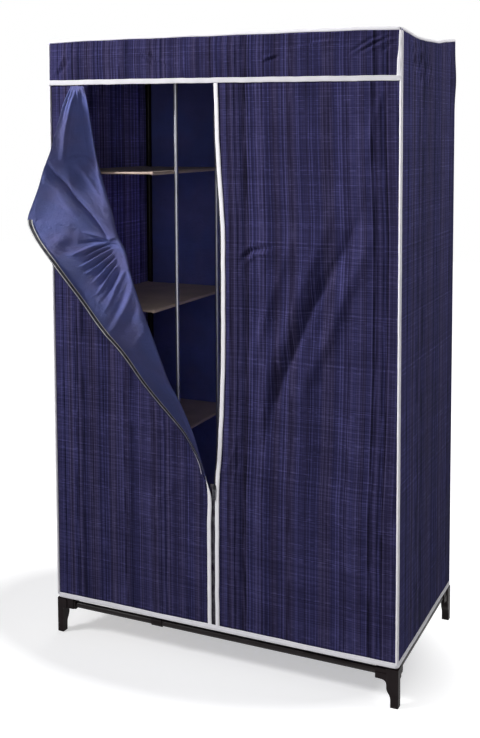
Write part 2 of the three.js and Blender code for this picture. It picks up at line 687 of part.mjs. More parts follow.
function flapSection(t) {
  const crest = crestCurve.getPointAt(t);
  const depth = crest.y;
  const free = freeCurve.getPointAt(t);
  const root = rootAt(t);
  const turnX = Math.max(crest.x - HAIRPIN_WIDTH, root.x + CLOTH);
  const width = crest.x - turnX;
  const near = vec(turnX, doorMidY - 2 * depth, crest.z);
  const swag = SWAG_DEPTH * Math.sin(Math.PI * t);
  const between = (share) => near.clone().lerp(free, share).add(vec(0, swag * Math.sin(Math.PI * share), 0));
  const points = [
    root,
    root.clone().add(vec(CLOTH / 2, -FOLD_LEAD, 0)),
    vec(turnX, doorMidY - depth / 4 - FOLD_LEAD / 2, (root.z + crest.z) / 2),
    vec(turnX + width * 0.8, doorMidY - depth * 0.5, crest.z),
    vec(crest.x, doorMidY - depth, crest.z),
    vec(turnX + width * 0.8, doorMidY - depth * 1.5, crest.z),
    near,
    between(1 / 3),
    between(2 / 3),
    free,
  ];
  return new THREE.CatmullRomCurve3(points, false, 'centripetal');
}

const flapCache = new Map();
function flapPoint(s, t) {
  if (!flapCache.has(t)) flapCache.set(t, flapSection(t));
  const point = flapCache.get(t).getPointAt(Math.min(s, 1));
  const fade = Math.max(0, 1 - t / PLEAT_FADE_SHARE);
  const open = Math.sin(Math.PI * Math.min(1, Math.max(0, (s - 0.25) / 0.75)));
  return point.add(vec(0, PLEAT_DEPTH * fade * open * Math.sin(2 * Math.PI * PLEATS * s), 0));
}

// A sheet of cloth thickened to both sides of the surface given, then moved off it by lift
function sheet(pointAt, columns, rows, thickness, lift = 0) {
  const middle = [];
  for (let j = 0; j <= rows; j += 1) {
    for (let i = 0; i <= columns; i += 1) middle.push(pointAt(i / columns, j / rows));
  }
  const index = (i, j) => j * (columns + 1) + i;
  const grid = (i, j) => middle[index(Math.min(columns, Math.max(0, i)), Math.min(rows, Math.max(0, j)))];
  const positions = [];
  for (const face of [1, -1]) {
    for (let j = 0; j <= rows; j += 1) {
      for (let i = 0; i <= columns; i += 1) {
        const across = grid(i + 1, j).clone().sub(grid(i - 1, j));
        const along = grid(i, j + 1).clone().sub(grid(i, j - 1));
        const normal = across.cross(along).normalize();
        positions.push(...grid(i, j).clone().addScaledVector(normal, lift + (face * thickness) / 2));
      }
    }
  }
  const count = middle.length;
  const faces = [];
  const quad = (a, b, c, d) => faces.push(a, b, c, a, c, d);
  for (let j = 0; j < rows; j += 1) {
    for (let i = 0; i < columns; i += 1) {
      const [a, b, c, d] = [index(i, j), index(i + 1, j), index(i + 1, j + 1), index(i, j + 1)];
      quad(a, b, c, d);
      quad(count + d, count + c, count + b, count + a);
    }
  }
  const edge = (a, b) => quad(b, a, count + a, count + b);
  for (let i = 0; i < columns; i += 1) {
    edge(index(i, 0), index(i + 1, 0));
    edge(index(i + 1, rows), index(i, rows));
  }
  for (let j = 0; j < rows; j += 1) {
    edge(index(columns, j), index(columns, j + 1));
    edge(index(0, j + 1), index(0, j));
  }
  return closedBody(positions, faces);
}

// Strips along the zip's edge of the folded corner: the zip tape on its lining, and the white
// binding on its outer face. Their rows are those of the cloth, so that they lie flat on it.
function edgeStrip(width, thickness, side) {
  const rows = LAST_STRIP_ROW - FIRST_STRIP_ROW;
  const strip = (s, t) => {
    const row = (FIRST_STRIP_ROW + t * rows) / FLAP_ROWS;
    const section = flapSection(row);
    const reach = Math.min(width / section.getLength(), STRIP_LIMIT_SHARE);
    return section.getPointAt(1 - reach * (1 - s));
  };
  const lift = side * (CLOTH / 2 + STRIP_GAP + thickness / 2);
  return sheet(strip, STRIP_COLUMNS, rows, thickness, lift);
}

add('left_door_corner', sheet(flapPoint, FLAP_COLUMNS, FLAP_ROWS, CLOTH), LINING_CLOTH);
add('left_corner_zip_tape', edgeStrip(FLAP_TAPE_WIDTH, TAPE_THICKNESS, 1), ZIP_TAPE);
add('left_corner_binding', edgeStrip(FLAP_BAND_WIDTH, TAPE_THICKNESS, -1), WHITE_BINDING);

// Zip slider: a plate with a tapered nose over the closed coil, and a bail for the pull

const sliderBackY = coilFrontY - GAP;
const sliderFrontY = sliderBackY - SLIDER_THICKNESS;
const sliderZ = FOLD_FOOT_Z;
const pullAxisY = sliderFrontY - PULL_BAR;
const pullAxisZ = sliderZ + BAIL_WALL;

function sliderSolid() {
  const half = SLIDER_WIDTH / 2;
  const low = sliderZ - SLIDER_LENGTH / 2;
  const high = sliderZ + SLIDER_LENGTH / 2;
  const plate = outline([
    [-half + SLIDER_NOSE / 2, low],
    [half - SLIDER_NOSE / 2, low],
    [half, low + SLIDER_NOSE],
    [half, high - SLIDER_NOSE],
    [half - SLIDER_NOSE, high],
    [-half + SLIDER_NOSE, high],
    [-half, high - SLIDER_NOSE],
    [-half, low + SLIDER_NOSE],
  ]);
  const body = inXZ(plate, SLIDER_THICKNESS).translate(0, (sliderBackY + sliderFrontY) / 2, 0);
  const bailLow = sliderZ - BAIL_LENGTH / 2;
  const bailHigh = sliderZ + BAIL_LENGTH / 2;
  const crown = sliderFrontY - BAIL_RISE;
  const arch = outline([
    [sliderFrontY + GAP, bailLow],
    [crown + BAIL_WALL, bailLow],
    [crown, bailLow + BAIL_WALL],
    [crown, bailHigh - BAIL_WALL],
    [crown + BAIL_WALL, bailHigh],
    [sliderFrontY + GAP, bailHigh],
    [sliderFrontY + GAP, bailHigh - BAIL_WALL],
    [crown + 2 * BAIL_WALL, bailHigh - BAIL_WALL],
    [crown + BAIL_WALL, bailHigh - 2 * BAIL_WALL],
    [crown + BAIL_WALL, bailLow + 2 * BAIL_WALL],
    [crown + 2 * BAIL_WALL, bailLow + BAIL_WALL],
    [sliderFrontY + GAP, bailLow + BAIL_WALL],
  ]);
  return joined(body, inYZ(arch, BAIL_WIDTH));
}
add('zip_slider', geometryOf(sliderSolid()), ZIP_METAL);

// Pull: a round bar under the bail, two limbs down to a rounded plate with an eye in its foot

function pullSolid() {
  const at = (x, drop) => vec(x, pullAxisY, pullAxisZ - drop);
  const limbX = (PULL_RING_WIDTH - PULL_LIMB) / 2;
  const bar = rod(PULL_BAR, at(-PULL_RING_WIDTH / 2, 0), at(PULL_RING_WIDTH / 2, 0), PIPING_SIDES);
  const limb = (sign) => rod(PULL_LIMB, at(sign * limbX, -PULL_LIMB / 2), at(sign * limbX, PULL_RING_LENGTH), PIPING_SIDES);
  const plateLength = PULL_LENGTH - PULL_RING_LENGTH;
  const shape = roundedRectangle(PULL_PLATE_WIDTH, plateLength, PULL_PLATE_WIDTH / 3);
  const eye = new THREE.Path();
  eye.absarc(0, -plateLength / 2 + PULL_PLATE_WIDTH / 2, PULL_PLATE_WIDTH / 5, 0, 2 * Math.PI, true);
  shape.holes.push(eye);
  const plate = inXZ(shape, PULL_THICKNESS, 3);
  plate.translate(0, pullAxisY, pullAxisZ - PULL_RING_LENGTH - plateLength / 2 + PULL_LIMB);
  return joined(bar, limb(-1), limb(1), plate);
}
add('zip_pull', geometryOf(pullSolid()), ZIP_METAL);

// The whole box, with the folded-out corner, is centred on the origin from front to back
const reach = new THREE.Box3().setFromObject(cabinet);
cabinet.position.y = -(reach.min.y + reach.max.y) / 2;

export default wardrobe;
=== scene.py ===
"""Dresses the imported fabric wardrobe: a sewn cover with white bindings over its tube frame,
its zip, its cloth shelves and the finishes of its tubes and moulded feet.

Lengths in the tables below are millimetres in the cabinet's own frame: x to the right, y to the
back with zero midway between the front and the back of the cover, z up from the floor.
"""

import math

import bpy
import numpy as np
from bpy.props import FloatProperty, FloatVectorProperty, PointerProperty
from mathutils import Matrix, Vector


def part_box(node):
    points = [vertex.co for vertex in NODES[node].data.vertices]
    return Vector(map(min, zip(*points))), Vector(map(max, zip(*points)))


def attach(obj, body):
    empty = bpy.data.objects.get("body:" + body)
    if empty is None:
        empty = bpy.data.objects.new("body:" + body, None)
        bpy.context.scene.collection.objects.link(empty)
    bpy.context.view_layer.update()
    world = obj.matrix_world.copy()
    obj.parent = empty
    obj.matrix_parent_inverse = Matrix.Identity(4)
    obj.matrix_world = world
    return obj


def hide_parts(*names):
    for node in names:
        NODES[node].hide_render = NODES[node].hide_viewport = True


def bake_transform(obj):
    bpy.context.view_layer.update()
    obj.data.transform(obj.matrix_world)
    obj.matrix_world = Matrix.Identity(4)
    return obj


bl_info = {
    "name": "Fabric wardrobe",
    "version": (1, 0, 0),
    "blender": (4, 5, 0),
    "location": "View3D > Sidebar > Wardrobe",
    "description": "Dresses a packed fabric wardrobe with its sewn cover, zip and finishes",
    "category": "Object",
}

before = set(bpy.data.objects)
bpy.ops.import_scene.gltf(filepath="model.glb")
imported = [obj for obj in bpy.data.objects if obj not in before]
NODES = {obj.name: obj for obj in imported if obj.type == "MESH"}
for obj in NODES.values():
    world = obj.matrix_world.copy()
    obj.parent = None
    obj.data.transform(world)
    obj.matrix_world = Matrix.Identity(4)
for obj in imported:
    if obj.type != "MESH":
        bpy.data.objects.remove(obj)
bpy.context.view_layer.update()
MM = 0.001

cover_low, cover_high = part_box("roof_piping")
MIDDLE_Y = (cover_low.y + cover_high.y) / 2
HALF_WIDTH = cover_high.x / MM
HALF_DEPTH = (cover_high.y - cover_low.y) / 2 / MM
TOP_Z = cover_high.z / MM
DOOR_FRONT = (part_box("right_door")[0].y - MIDDLE_Y) / MM
HEM_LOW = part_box("hem_binding")[0].z / MM
HEM_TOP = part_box("hem_binding")[1].z / MM
FOLD_FOOT = (24.0, 440.0)
FOLD_TOP = (372.0, 1387.4)

# Lower edge of the header's white band, from the left corner to the right one: x and z
HEADER_EDGE = ((-450, 1394.5), (-250, 1393), (0, 1390), (250, 1386.5), (450, 1383.5))
# The right door's free edge, from the hem up: z and x of the left side of its binding
RIGHT_EDGE = (
    (90, 2.8), (434, 3.6), (470, 6.0), (505, 9.6), (539, 11.6), (616, 16.6), (700, 20.4),
    (769, 22.7), (900, 24.0), (1030, 24.6), (1068, 23.6), (1150, 17.6), (1251, 10.8), (1400, 5.6),
)
# Crest of the folded-out corner, where its cloth turns back, from the header down: x, out, z
CREST = (
    (-346, 3, 1391), (-338, 6, 1362), (-330, 10, 1335), (-317, 15, 1275), (-302, 18, 1210),
    (-281, 20, 1145), (-262, 20, 1088), (-247, 20, 1032), (-226, 20, 996), (-214, 20, 948),
    (-199, 20, 901), (-182, 20, 857), (-151, 19, 782), (-131, 18, 732), (-110, 15.5, 680),
    (-88, 13.4, 643), (-69, 11, 604), (-55, 9, 570), (-42, 7, 530), (-30, 5, 490), (-19, 3.5, 452),
)
# Its free, zipped edge, from the header down: x, out, z
FREE_EDGE = (
    (-383, 6, 1392), (-386, 38, 1345), (-390, 62, 1285), (-396, 80, 1232), (-407, 90, 1194),
    (-420, 97, 1146), (-435, 102, 1105), (-445, 104, 1080), (-447.5, 104, 1066), (-442, 104.5, 1050),
    (-423, 105, 1019), (-371, 106, 957), (-333, 107, 914), (-290, 107, 867), (-246, 106, 817),
    (-190, 100, 759), (-146, 90, 697), (-104, 76, 642), (-61, 54, 582), (-46, 42, 551),
    (-28, 22, 503), (-21, 8, 459),
)
# The cloth's hairpin at the crest, and the camera's sight: its slope, height and distance
FOLD_GAP = 9.0
SIGHT_SLOPE, SIGHT_HEIGHT, SIGHT_REACH = 0.609, 1269, 2174
# How far cloth lies inside the cover's outline: a door's outer edge, the back and the roof
DOOR_INSET, PANEL_INSET, ROOF_INSET = 4.6, 2.4, 4.2
# How far cloth runs behind the hem, on a door and on a panel, and behind a band or piping
DOOR_TUCK, PANEL_TUCK, BAND_TUCK = 4.0, 3.0, 5.0
SHELF_HALF = 2.6
# Ways across and out of the front
ACROSS, FORWARD = (1, 0, 0), (0, -1, 0)
# Points closer than this are one, in metres; and the share of a ribbon's size next to its end
WELD, END_SHARE = 0.00002, 0.72


def length_property(name, description, default):
    return FloatProperty(name=name, description=description, default=default, unit="LENGTH")


class WardrobeSizes(bpy.types.PropertyGroup):
    """Sizes of the sewn pieces"""

    cloth_thickness: length_property("Cloth", "Thickness of the cover's cloth", 0.0012)
    binding_width: length_property("Binding", "Width of the white binding on a door's edge", 0.0102)
    band_height: length_property("Header band", "Height of the white band under the header", 0.0118)
    binding_thickness: length_property("Binding thickness", "Thickness of a folded binding", 0.0026)
    piping: length_property("Piping", "Thickness of the piping on the right front corner", 0.0076)
    tape_width: length_property("Zip tape", "Width of one zip tape", 0.0124)
    coil_pitch: length_property("Coil pitch", "Length of one turn of the zip's coil", 0.0024)
    fold_depth: length_property("Door folds", "Depth of the doors' hanging folds", 0.0026)


def colour_property(name, description, *levels):
    """A colour given as a screen shows it, each level from 0 to 255, and kept as linear light."""
    shares = [level / 255 for level in levels]
    linear = [share / 12.92 if share <= 0.04045 else ((share + 0.055) / 1.055) ** 2.4 for share in shares]
    return FloatVectorProperty(name=name, description=description, default=linear, subtype="COLOR", min=0, max=1)


class WardrobeColours(bpy.types.PropertyGroup):
    """Colours of the cloth, tape, plastic and metal"""

    navy_dark: colour_property("Dark stripes", "Darkest threads of the woven cloth", 18, 17, 36)
    navy: colour_property("Navy", "Ground of the woven cloth", 46, 44, 80)
    navy_light: colour_property("Light stripes", "Lightest threads of the woven cloth", 90, 88, 142)
    lining: colour_property("Lining", "Plain lining of the doors", 99, 109, 176)
    back_lining: colour_property("Back lining", "Plain inside of the back", 104, 116, 202)
    binding: colour_property("Binding", "White binding tape", 246, 244, 250)
    shelf: colour_property("Shelf cloth", "Stiffened cloth of the shelves", 214, 190, 176)
    zip_tape: colour_property("Zip tape", "Tape and coil of the open zip", 26, 24, 40)
    zip_closed: colour_property("Closed zip", "Shaded tape and coil of the closed zip", 30, 20, 40)
    plastic: colour_property("Plastic", "Moulded feet and joints", 24, 15, 17)
    tube: colour_property("Tube", "Painted steel tube", 22, 14, 16)
    bright_tube: colour_property("Bright tube", "Plated uprights of the shelf bay", 208, 210, 220)
    zip_metal: colour_property("Zip metal", "Lacquered slider and pull", 34, 34, 44)


def size(name):
    """A size of the sewn pieces, in millimetres."""
    return getattr(bpy.context.scene.wardrobe_sizes, name) / MM


def colour(name):
    return tuple(getattr(bpy.context.scene.wardrobe_colours, name))


# Finishes: their lengths are metres, as the pieces' UV maps are


class Graph:
    """A node tree built up call by call."""

    def __init__(self, tree):
        self.nodes, self.links = tree.nodes, tree.links

    def put(self, socket, value):
        if isinstance(value, bpy.types.NodeSocket):
            self.links.new(value, socket)
        else:
            socket.default_value = value

    def node(self, kind, inputs=None, output=0, **settings):
        """Adds a node, fills its inputs and gives the output wanted."""
        made = self.nodes.new("ShaderNode" + kind)
        for key, value in settings.items():
            setattr(made, key, value)
        for key, value in (inputs or {}).items():
            self.put(made.inputs[key], value)
        return made.outputs[output]

    def calc(self, operation, *values):
        return self.node("Math", dict(enumerate(values)), operation=operation)

    def seen(self, *rays):
        """1 for the two kinds of ray named, and 0 for the rest."""
        return self.calc("MAXIMUM", *(self.node("LightPath", output=f"Is {ray} Ray") for ray in rays))


class Finish(Graph):
    """A material built up round its principled shader."""

    def __init__(self, name):
        self.material = bpy.data.materials.new(name)
        self.material.use_nodes = True
        super().__init__(self.material.node_tree)
        self.shader = self.nodes["Principled BSDF"]

    def place(self, kind="UV"):
        return self.node("TexCoord", output=kind)

    def parts(self, place):
        return (self.node("SeparateXYZ", {0: place}, part) for part in ("X", "Y"))

    def threads(self, place, scale, start=0.0, detail=1.0, rough=0.5):
        """Irregular stripes along one direction."""
        inputs = {"W": self.calc("ADD", place, start), "Scale": scale, "Detail": detail, "Roughness": rough}
        return self.node("TexNoise", inputs, "Fac", noise_dimensions="1D")

    def cloud(self, place, scale, detail=2.0, rough=0.5):
        """Noise all ways; a scale of three numbers stretches it."""
        if isinstance(scale, tuple):
            place, scale = self.node("Mapping", {"Vector": place, "Scale": scale}), 1.0
        return self.node("TexNoise", {"Vector": place, "Scale": scale, "Detail": detail, "Roughness": rough}, "Fac")

    def weave(self, across, up, period):
        """Threads that go over and under each other."""
        waves = (self.calc("SINE", self.calc("MULTIPLY", way, 2 * math.pi / period)) for way in (across, up))
        return self.calc("MULTIPLY", *waves)

    def away(self, value, middle):
        return self.calc("ABSOLUTE", self.calc("SUBTRACT", value, middle))

    def span(self, value, low, high, to_low=0.0, to_high=1.0):
        inputs = {"Value": value, "From Min": low, "From Max": high, "To Min": to_low, "To Max": to_high}
        return self.node("MapRange", inputs)

    def total(self, start, *parts):
        """The start plus each value times its gain."""
        for value, gain in parts:
            start = self.calc("MULTIPLY_ADD", value, gain, start)
        return start

    def waver(self, *parts):
        """A half, moved by noises that lie round a half, each times its gain."""
        return self.total(0.5 - sum(gain for _, gain in parts) / 2, *parts)

    def ramp(self, factor, *stops):
        """Colours at places from 0 to 1."""
        made = self.nodes.new("ShaderNodeValToRGB")
        self.put(made.inputs["Fac"], factor)
        while len(made.color_ramp.elements) < len(stops):
            made.color_ramp.elements.new(0.5)
        for element, (place, tone) in zip(made.color_ramp.elements, stops):
            element.position = place
            element.color = (*tone, 1)
        return made.outputs["Color"]

    def blend(self, factor, first, second):
        return self.node("Mix", {"Factor": factor, 6: first, 7: second}, 2, data_type="RGBA")

    def set(self, **values):
        for key, value in values.items():
            self.put(self.shader.inputs[key.replace("_", " ")], value)

    def done(self, height, strength, distance, **values):
        """Lays the bump, sets the shader's sockets and gives the material."""
        self.set(Normal=self.node("Bump", {"Height": height, "Strength": strength, "Distance": distance}), **values)
        return self.material


def shaded(tone, share, more=0.0):
    """A tone times a share, or its parts times a share each, plus a little more."""
    return tuple(value * part + more for value, part in zip(tone, np.broadcast_to(share, 3).tolist()))


NAVY_PLACES = (0.1, 0.5, 0.95)
NAVY_WARMTH = ((1.1, 1.0, 0.85), (1.16, 1.06, 0.92), (1.1, 1.04, 0.84))
NAVY_WEAVE, LINING_WEAVE, LINING_DOTS, SHELF_WEAVE = 0.0013, 0.0009, 0.0052, 0.0014


def woven_navy(name, ground, lift):
    """Navy cloth woven in irregular upright stripes, with thin lighter threads across."""
    made = Finish(name)
    place = made.place()
    across, up = made.parts(place)
    patch = made.cloud(place, 12)
    weft = made.threads(up, 430, 1.9)
    # Threads of different navies: wide soft stripes, and narrow ones about 5 mm and 2 mm apart
    total = made.waver(
        (made.threads(across, 24), 0.24),
        (made.threads(across, 105, 7.3), 0.42),
        (made.threads(across, 260, 3.1, rough=0.6), 0.62),
        (made.threads(across, 620, 5.9, 0.0), 0.34),
        (made.threads(up, 150, 5.7), 0.16),
        (weft, 0.34),
        (patch, 0.3),
    )
    # Thin near-black warp lines, and thin lighter weft lines, that come and go
    for threads, reach, scale, low, high, gain in (
        (made.threads(across, 52, 12.7), 0.03, (160, 9, 1), 0.36, 0.55, -0.3),
        (made.threads(up, 110, 9.1), 0.045, (60, 190, 1), 0.46, 0.6, 0.16),
    ):
        line = made.span(made.away(threads, 0.5), 0.0, reach, 1.0, 0.0)
        shown = made.span(made.cloud(place, scale, 1.0), low, high)
        total = made.total(total, (made.calc("MULTIPLY", line, shown), gain))
    tones = [shaded(tone, lift) for tone in (colour("navy_dark"), ground, colour("navy_light"))]
    warm = [shaded(tone, shares) for tone, shares in zip(tones, NAVY_WARMTH)]
    turned = made.span(made.threads(across, 34, 1.4, 2.0), 0.42, 0.62)
    tint = made.blend(turned, *(made.ramp(total, *zip(NAVY_PLACES, row)) for row in (tones, warm)))
    crumple = made.cloud(place, (85, 51, 85), 3.0, 0.55)
    return made.done(
        made.total(crumple, (made.weave(across, up, NAVY_WEAVE), 0.12), (weft, 0.2)), 0.35, 0.0035,
        Base_Color=tint, Roughness=made.span(patch, 0.3, 0.7, 0.82, 0.96), Specular_IOR_Level=0.04,
        Sheen_Weight=0.045, Sheen_Roughness=0.45, Sheen_Tint=(0.42, 0.48, 1.0, 1.0),
    )


def plain_lining(name, tone, gloss):
    """Smooth lining: cooler and warmer patches, a fine dotted weave and a soft sheen."""
    made = Finish(name)
    place = made.place()
    across, up = made.parts(place)
    grain = made.threads(across, 900, detail=0.0)
    shift = made.waver((made.cloud(place, 16, 3.0, 0.6), 0.9), (grain, 0.35), (made.threads(up, 800, 4.0, 0.0), 0.3))
    dots = made.weave(made.calc("ADD", across, up), made.calc("SUBTRACT", across, up), LINING_DOTS)
    shift = made.total(shift, (dots, 0.16))
    dark, light = shaded(tone, 0.7), shaded(tone, 1.26)
    cool = made.ramp(shift, (0.0, dark), (1.0, light))
    warm = made.ramp(shift, (0.0, shaded(dark, (1.16, 1.0, 0.92))), (1.0, shaded(light, (1.16, 0.99, 0.92))))
    crumple = made.cloud(place, 70, 5.0, 0.68)
    return made.done(
        made.total(crumple, (made.weave(across, up, LINING_WEAVE), 0.05), (grain, 0.08)), 0.85, 0.006,
        Base_Color=made.blend(made.span(made.cloud(place, 9), 0.42, 0.6), cool, warm),
        Roughness=gloss, Specular_IOR_Level=0.28, Sheen_Weight=0.08, Sheen_Roughness=0.4,
    )


def binding_tape(name, tone, stitch_place=0.0036, share=1.0):
    """Folded cotton tape: fine ribs along it, and a row of stitches near one edge."""
    made = Finish(name)
    stitch_width, stitch_pitch, stitch_share = 0.0004, 0.0034, 0.68
    place = made.place()
    across, along = made.parts(place)
    ribs, cross = (
        made.calc("SINE", made.calc("MULTIPLY", way, 2 * math.pi / pitch))
        for way, pitch in ((across, 0.0008), (along, 0.0012))
    )
    dirt = made.cloud(place, 45, 3.0)
    row = made.calc("LESS_THAN", made.away(across, stitch_place), stitch_width)
    dash = made.calc("LESS_THAN", made.calc("FRACT", made.calc("MULTIPLY", along, 1 / stitch_pitch)), stitch_share)
    stitch = made.calc("MULTIPLY", row, dash)
    level = made.total(made.span(dirt, 0.3, 0.75, 1.0, 0.93), (stitch, -0.16))
    # a share below 1 darkens the whole tape as painted shade, as on the header's band
    return made.done(
        made.total(0.0, (ribs, 0.16), (cross, 0.14), (stitch, -1.4), (dirt, 0.8)), 0.3, 0.0005,
        Base_Color=made.ramp(level, (0.6, shaded(tone, 0.55 * share)), (1.0, shaded(tone, share))),
        Roughness=0.72, Specular_IOR_Level=0.3, Sheen_Weight=0.1, Sheen_Roughness=0.5,
    )


def zip_cloth(name, tone, lines=0.9, shine=0.35):
    """Zip tape: dark herringbone, with a light woven line along each side; the closed zip's darker copy, with no
    lines and little specular, is painted shade.
    """
    made = Finish(name)
    line_place, line_width, rib_pitch = 0.0046, 0.001, 0.0011
    place = made.place()
    across, along = made.parts(place)
    side = made.calc("ABSOLUTE", across)
    ribs = made.calc("SINE", made.calc("MULTIPLY", made.calc("ADD", side, along), 2 * math.pi / rib_pitch))
    cloud = made.cloud(place, 60)
    line = made.calc("LESS_THAN", made.away(side, line_place), line_width)
    level = made.total(made.span(cloud, 0.3, 0.7, 0.0, 0.1), (line, lines))
    return made.done(
        made.calc("ADD", ribs, cloud), 0.25, 0.0004,
        Base_Color=made.ramp(level, (0.0, tone), (1.0, shaded(tone, 0.3, 0.84))), Roughness=0.6,
        Specular_IOR_Level=shine,
    )


def shelf_cloth(name, tone):
    """Stiffened plain-woven cloth over board, a little soiled."""
    made = Finish(name)
    place = made.place("Object")
    x, y = made.parts(place)
    slubs = made.threads(y, 420)
    level = made.total(-0.175, (slubs, 0.35), (made.cloud(place, 11, 3.0), 1.0))
    return made.done(
        made.total(slubs, (made.weave(x, y, SHELF_WEAVE), 0.4)), 0.3, 0.0005,
        Base_Color=made.ramp(level, (0.25, shaded(tone, 0.72)), (0.7, tone)), Roughness=0.8,
        Specular_IOR_Level=0.3, Sheen_Weight=0.1,
    )


def moulded_plastic(name, tone):
    """Dark moulded plastic: fine spark-eroded grain, flow marks and scuffs."""
    made = Finish(name)
    place = made.place("Object")
    flow = made.cloud(place, 28, 4.0, 0.6)
    scuffs = made.cloud(place, (30, 30, 160), 6.0, 0.7)
    level = made.total(made.span(flow, 0.3, 0.7, 0.0, 0.3), (made.span(scuffs, 0.62, 0.78), 0.35))
    return made.done(
        made.total(made.cloud(place, 1500, 2.0, 0.6), (flow, 0.5)), 0.18, 0.0003,
        Base_Color=made.ramp(level, (0.0, shaded(tone, 0.8)), (1.0, shaded(tone, 2.0, 0.004))),
        Roughness=made.span(scuffs, 0.3, 0.75, 0.42, 0.6), Specular_IOR_Level=0.12,
    )


def painted_tube(name, tone):
    """Powder-coated steel: low orange peel, handling marks and a clear, narrow highlight."""
    made = Finish(name)
    place = made.place("Object")
    rub = made.cloud(place, 22, 6.0, 0.72)
    level = made.span(rub, 0.35, 0.75, 0.0, 0.5)
    return made.done(
        made.cloud(place, 620, 2.0, 0.55), 0.12, 0.0003,
        Base_Color=made.ramp(level, (0.0, shaded(tone, 0.8)), (1.0, shaded(tone, 2.2, 0.006))),
        Roughness=made.span(rub, 0.3, 0.7, 0.3, 0.5), Specular_IOR_Level=0.2,
    )


def plated_tube(name, tone):
    """Bright plated tube with fine drawn lines and a little clouding."""
    made = Finish(name)
    place = made.place("Object")
    haze = made.cloud(place, 24, 4.0, 0.6)
    return made.done(
        made.cloud(place, (900, 900, 12), 3.0, 0.6), 0.03, 0.0001,
        Base_Color=made.ramp(haze, (0.3, shaded(tone, 0.82)), (0.7, tone)), Metallic=0.85,
        Roughness=made.span(haze, 0.3, 0.7, 0.3, 0.44),
    )


def lacquered_metal(name, tone):
    """Small cast zip parts: dark lacquer worn through on the high spots."""
    made = Finish(name)
    place = made.place("Object")
    rub = made.cloud(place, 260, 4.0, 0.65)
    return made.done(
        made.cloud(place, 900), 0.12, 0.0002,
        Base_Color=made.ramp(made.span(rub, 0.5, 0.75), (0.0, tone), (1.0, shaded(tone, 1.0, 0.16))),
        Metallic=0.55, Roughness=made.span(rub, 0.3, 0.7, 0.25, 0.45),
    )


# Each finish: who makes it, its colour's name, and what else that maker takes
RECIPES = {
    "navy_cloth": (woven_navy, "navy", 1.0),
    "navy_reverse": (woven_navy, "navy", 6.4),
    "door_lining": (plain_lining, "lining", 0.52),
    "back_lining": (plain_lining, "back_lining", 0.6),
    "white_binding": (binding_tape, "binding"),
    "white_piping": (binding_tape, "binding", 0.03),
    # the header's band: the binding at 0.8, painted shade against the stronger light at the top
    "white_band": (binding_tape, "binding", 0.0036, 0.8),
    "zip_tape": (zip_cloth, "zip_tape"),
    # the closed zip: the zip tape darkened, painted shade where it lies sunk between the doors
    "zip_closed": (zip_cloth, "zip_closed", 0.0, 0.06),
    "zip_coil": (moulded_plastic, "zip_tape"),
    "zip_metal": (lacquered_metal, "zip_metal"),
    "shelf_cloth": (shelf_cloth, "shelf"),
    "moulded_plastic": (moulded_plastic, "plastic"),
    "painted_tube": (painted_tube, "tube"),
    "plated_tube": (plated_tube, "bright_tube"),
}
FINISHES = {}


def finish(name):
    """The named finish, made the first time it is wanted."""
    if name not in FINISHES:
        maker, tone, *more = RECIPES[name]
        FINISHES[name] = maker(name, colour(tone), *more)
    return FINISHES[name]


# Making pieces


def pick(piece):
    bpy.ops.object.select_all(action="DESELECT")
    piece.select_set(True)
    bpy.context.view_layer.objects.active = piece


def apply_modifiers(piece):
    pick(piece)
    for modifier in list(piece.modifiers):
        bpy.ops.object.modifier_apply(modifier=modifier.name)


def smooth(piece, angle):
    pick(piece)
    bpy.ops.object.shade_smooth_by_angle(angle=math.radians(angle), keep_sharp_edges=False)


def named(name):
    """The piece just added, given its name."""
    piece = bpy.context.object
    piece.name = piece.data.name = name
    return piece


def read_points(piece):
    points = np.empty(len(piece.data.vertices) * 3)
    piece.data.vertices.foreach_get("co", points)
    return points.reshape(-1, 3)


def new_grid(name, columns, rows):
    """A grid primitive, and its vertices' shares across and up."""
    bpy.ops.mesh.primitive_grid_add(x_subdivisions=columns, y_subdivisions=rows, size=1, location=(0, 0, 0))
    piece = named(name)
    shares = read_points(piece) + 0.5
    if len(shares) != (columns + 1) * (rows + 1):
        raise RuntimeError(f"{name}: the grid has {len(shares)} points")
    return piece, shares[:, 0], shares[:, 1]


def line(x, y, z):
    """Points from their three parts, any of which may be one number."""
    return np.stack(np.broadcast_arrays(x, y, z), axis=1).astype(float)


def ease(value, low=0.0, high=1.0):
    share = np.clip((np.asarray(value, float) - low) / (high - low), 0, 1)
    return share * share * (3 - 2 * share)


def between(low, high, share):
    return low + share * (high - low)


def hump(value, centre, radius):
    return np.exp(-(((value - centre) / radius) ** 2))


def unit(vectors):
    vectors = np.asarray(vectors, float)
    return vectors / np.maximum(np.linalg.norm(vectors, axis=-1, keepdims=True), 1e-12)


def path_lengths(points):
    return np.concatenate([[0.0], np.cumsum(np.linalg.norm(np.diff(points, axis=0), axis=1))])


def read_along(values, lengths, at):
    """Values given along a path, read at other lengths of it."""
    return np.stack([np.interp(at, lengths, values[:, axis]) for axis in range(3)], axis=1)


def settle(points):
    """Lifts the cover's top a little at the front left and rear right corners, as it sits on the frame."""
    x, y, z = points.T
    front_left = np.clip(0.5 - x / (2 * HALF_WIDTH), 0, 1) * ease(-y, 60, HALF_DEPTH)
    rear_right = ease(x, 250, HALF_WIDTH) * ease(y, 60, HALF_DEPTH)
    return line(x, y, z + ease(z, 1380, 1494) * (8 * front_left + 9 * rear_right))


def set_points(piece, points):
    """Moves every vertex; the points are millimetres in the cabinet's frame."""
    placed = settle(points) * MM
    placed[:, 1] += MIDDLE_Y
    piece.data.vertices.foreach_set("co", placed.ravel())
    piece.data.update()


def set_uv(piece, across, along):
    """Lays the piece's own UV map in metres."""
    loops = np.empty(len(piece.data.loops), int)
    piece.data.loops.foreach_get("vertex_index", loops)
    flat = np.stack([np.asarray(across)[loops], np.asarray(along)[loops]], axis=1) * MM
    piece.data.uv_layers.active.data.foreach_set("uv", flat.ravel())


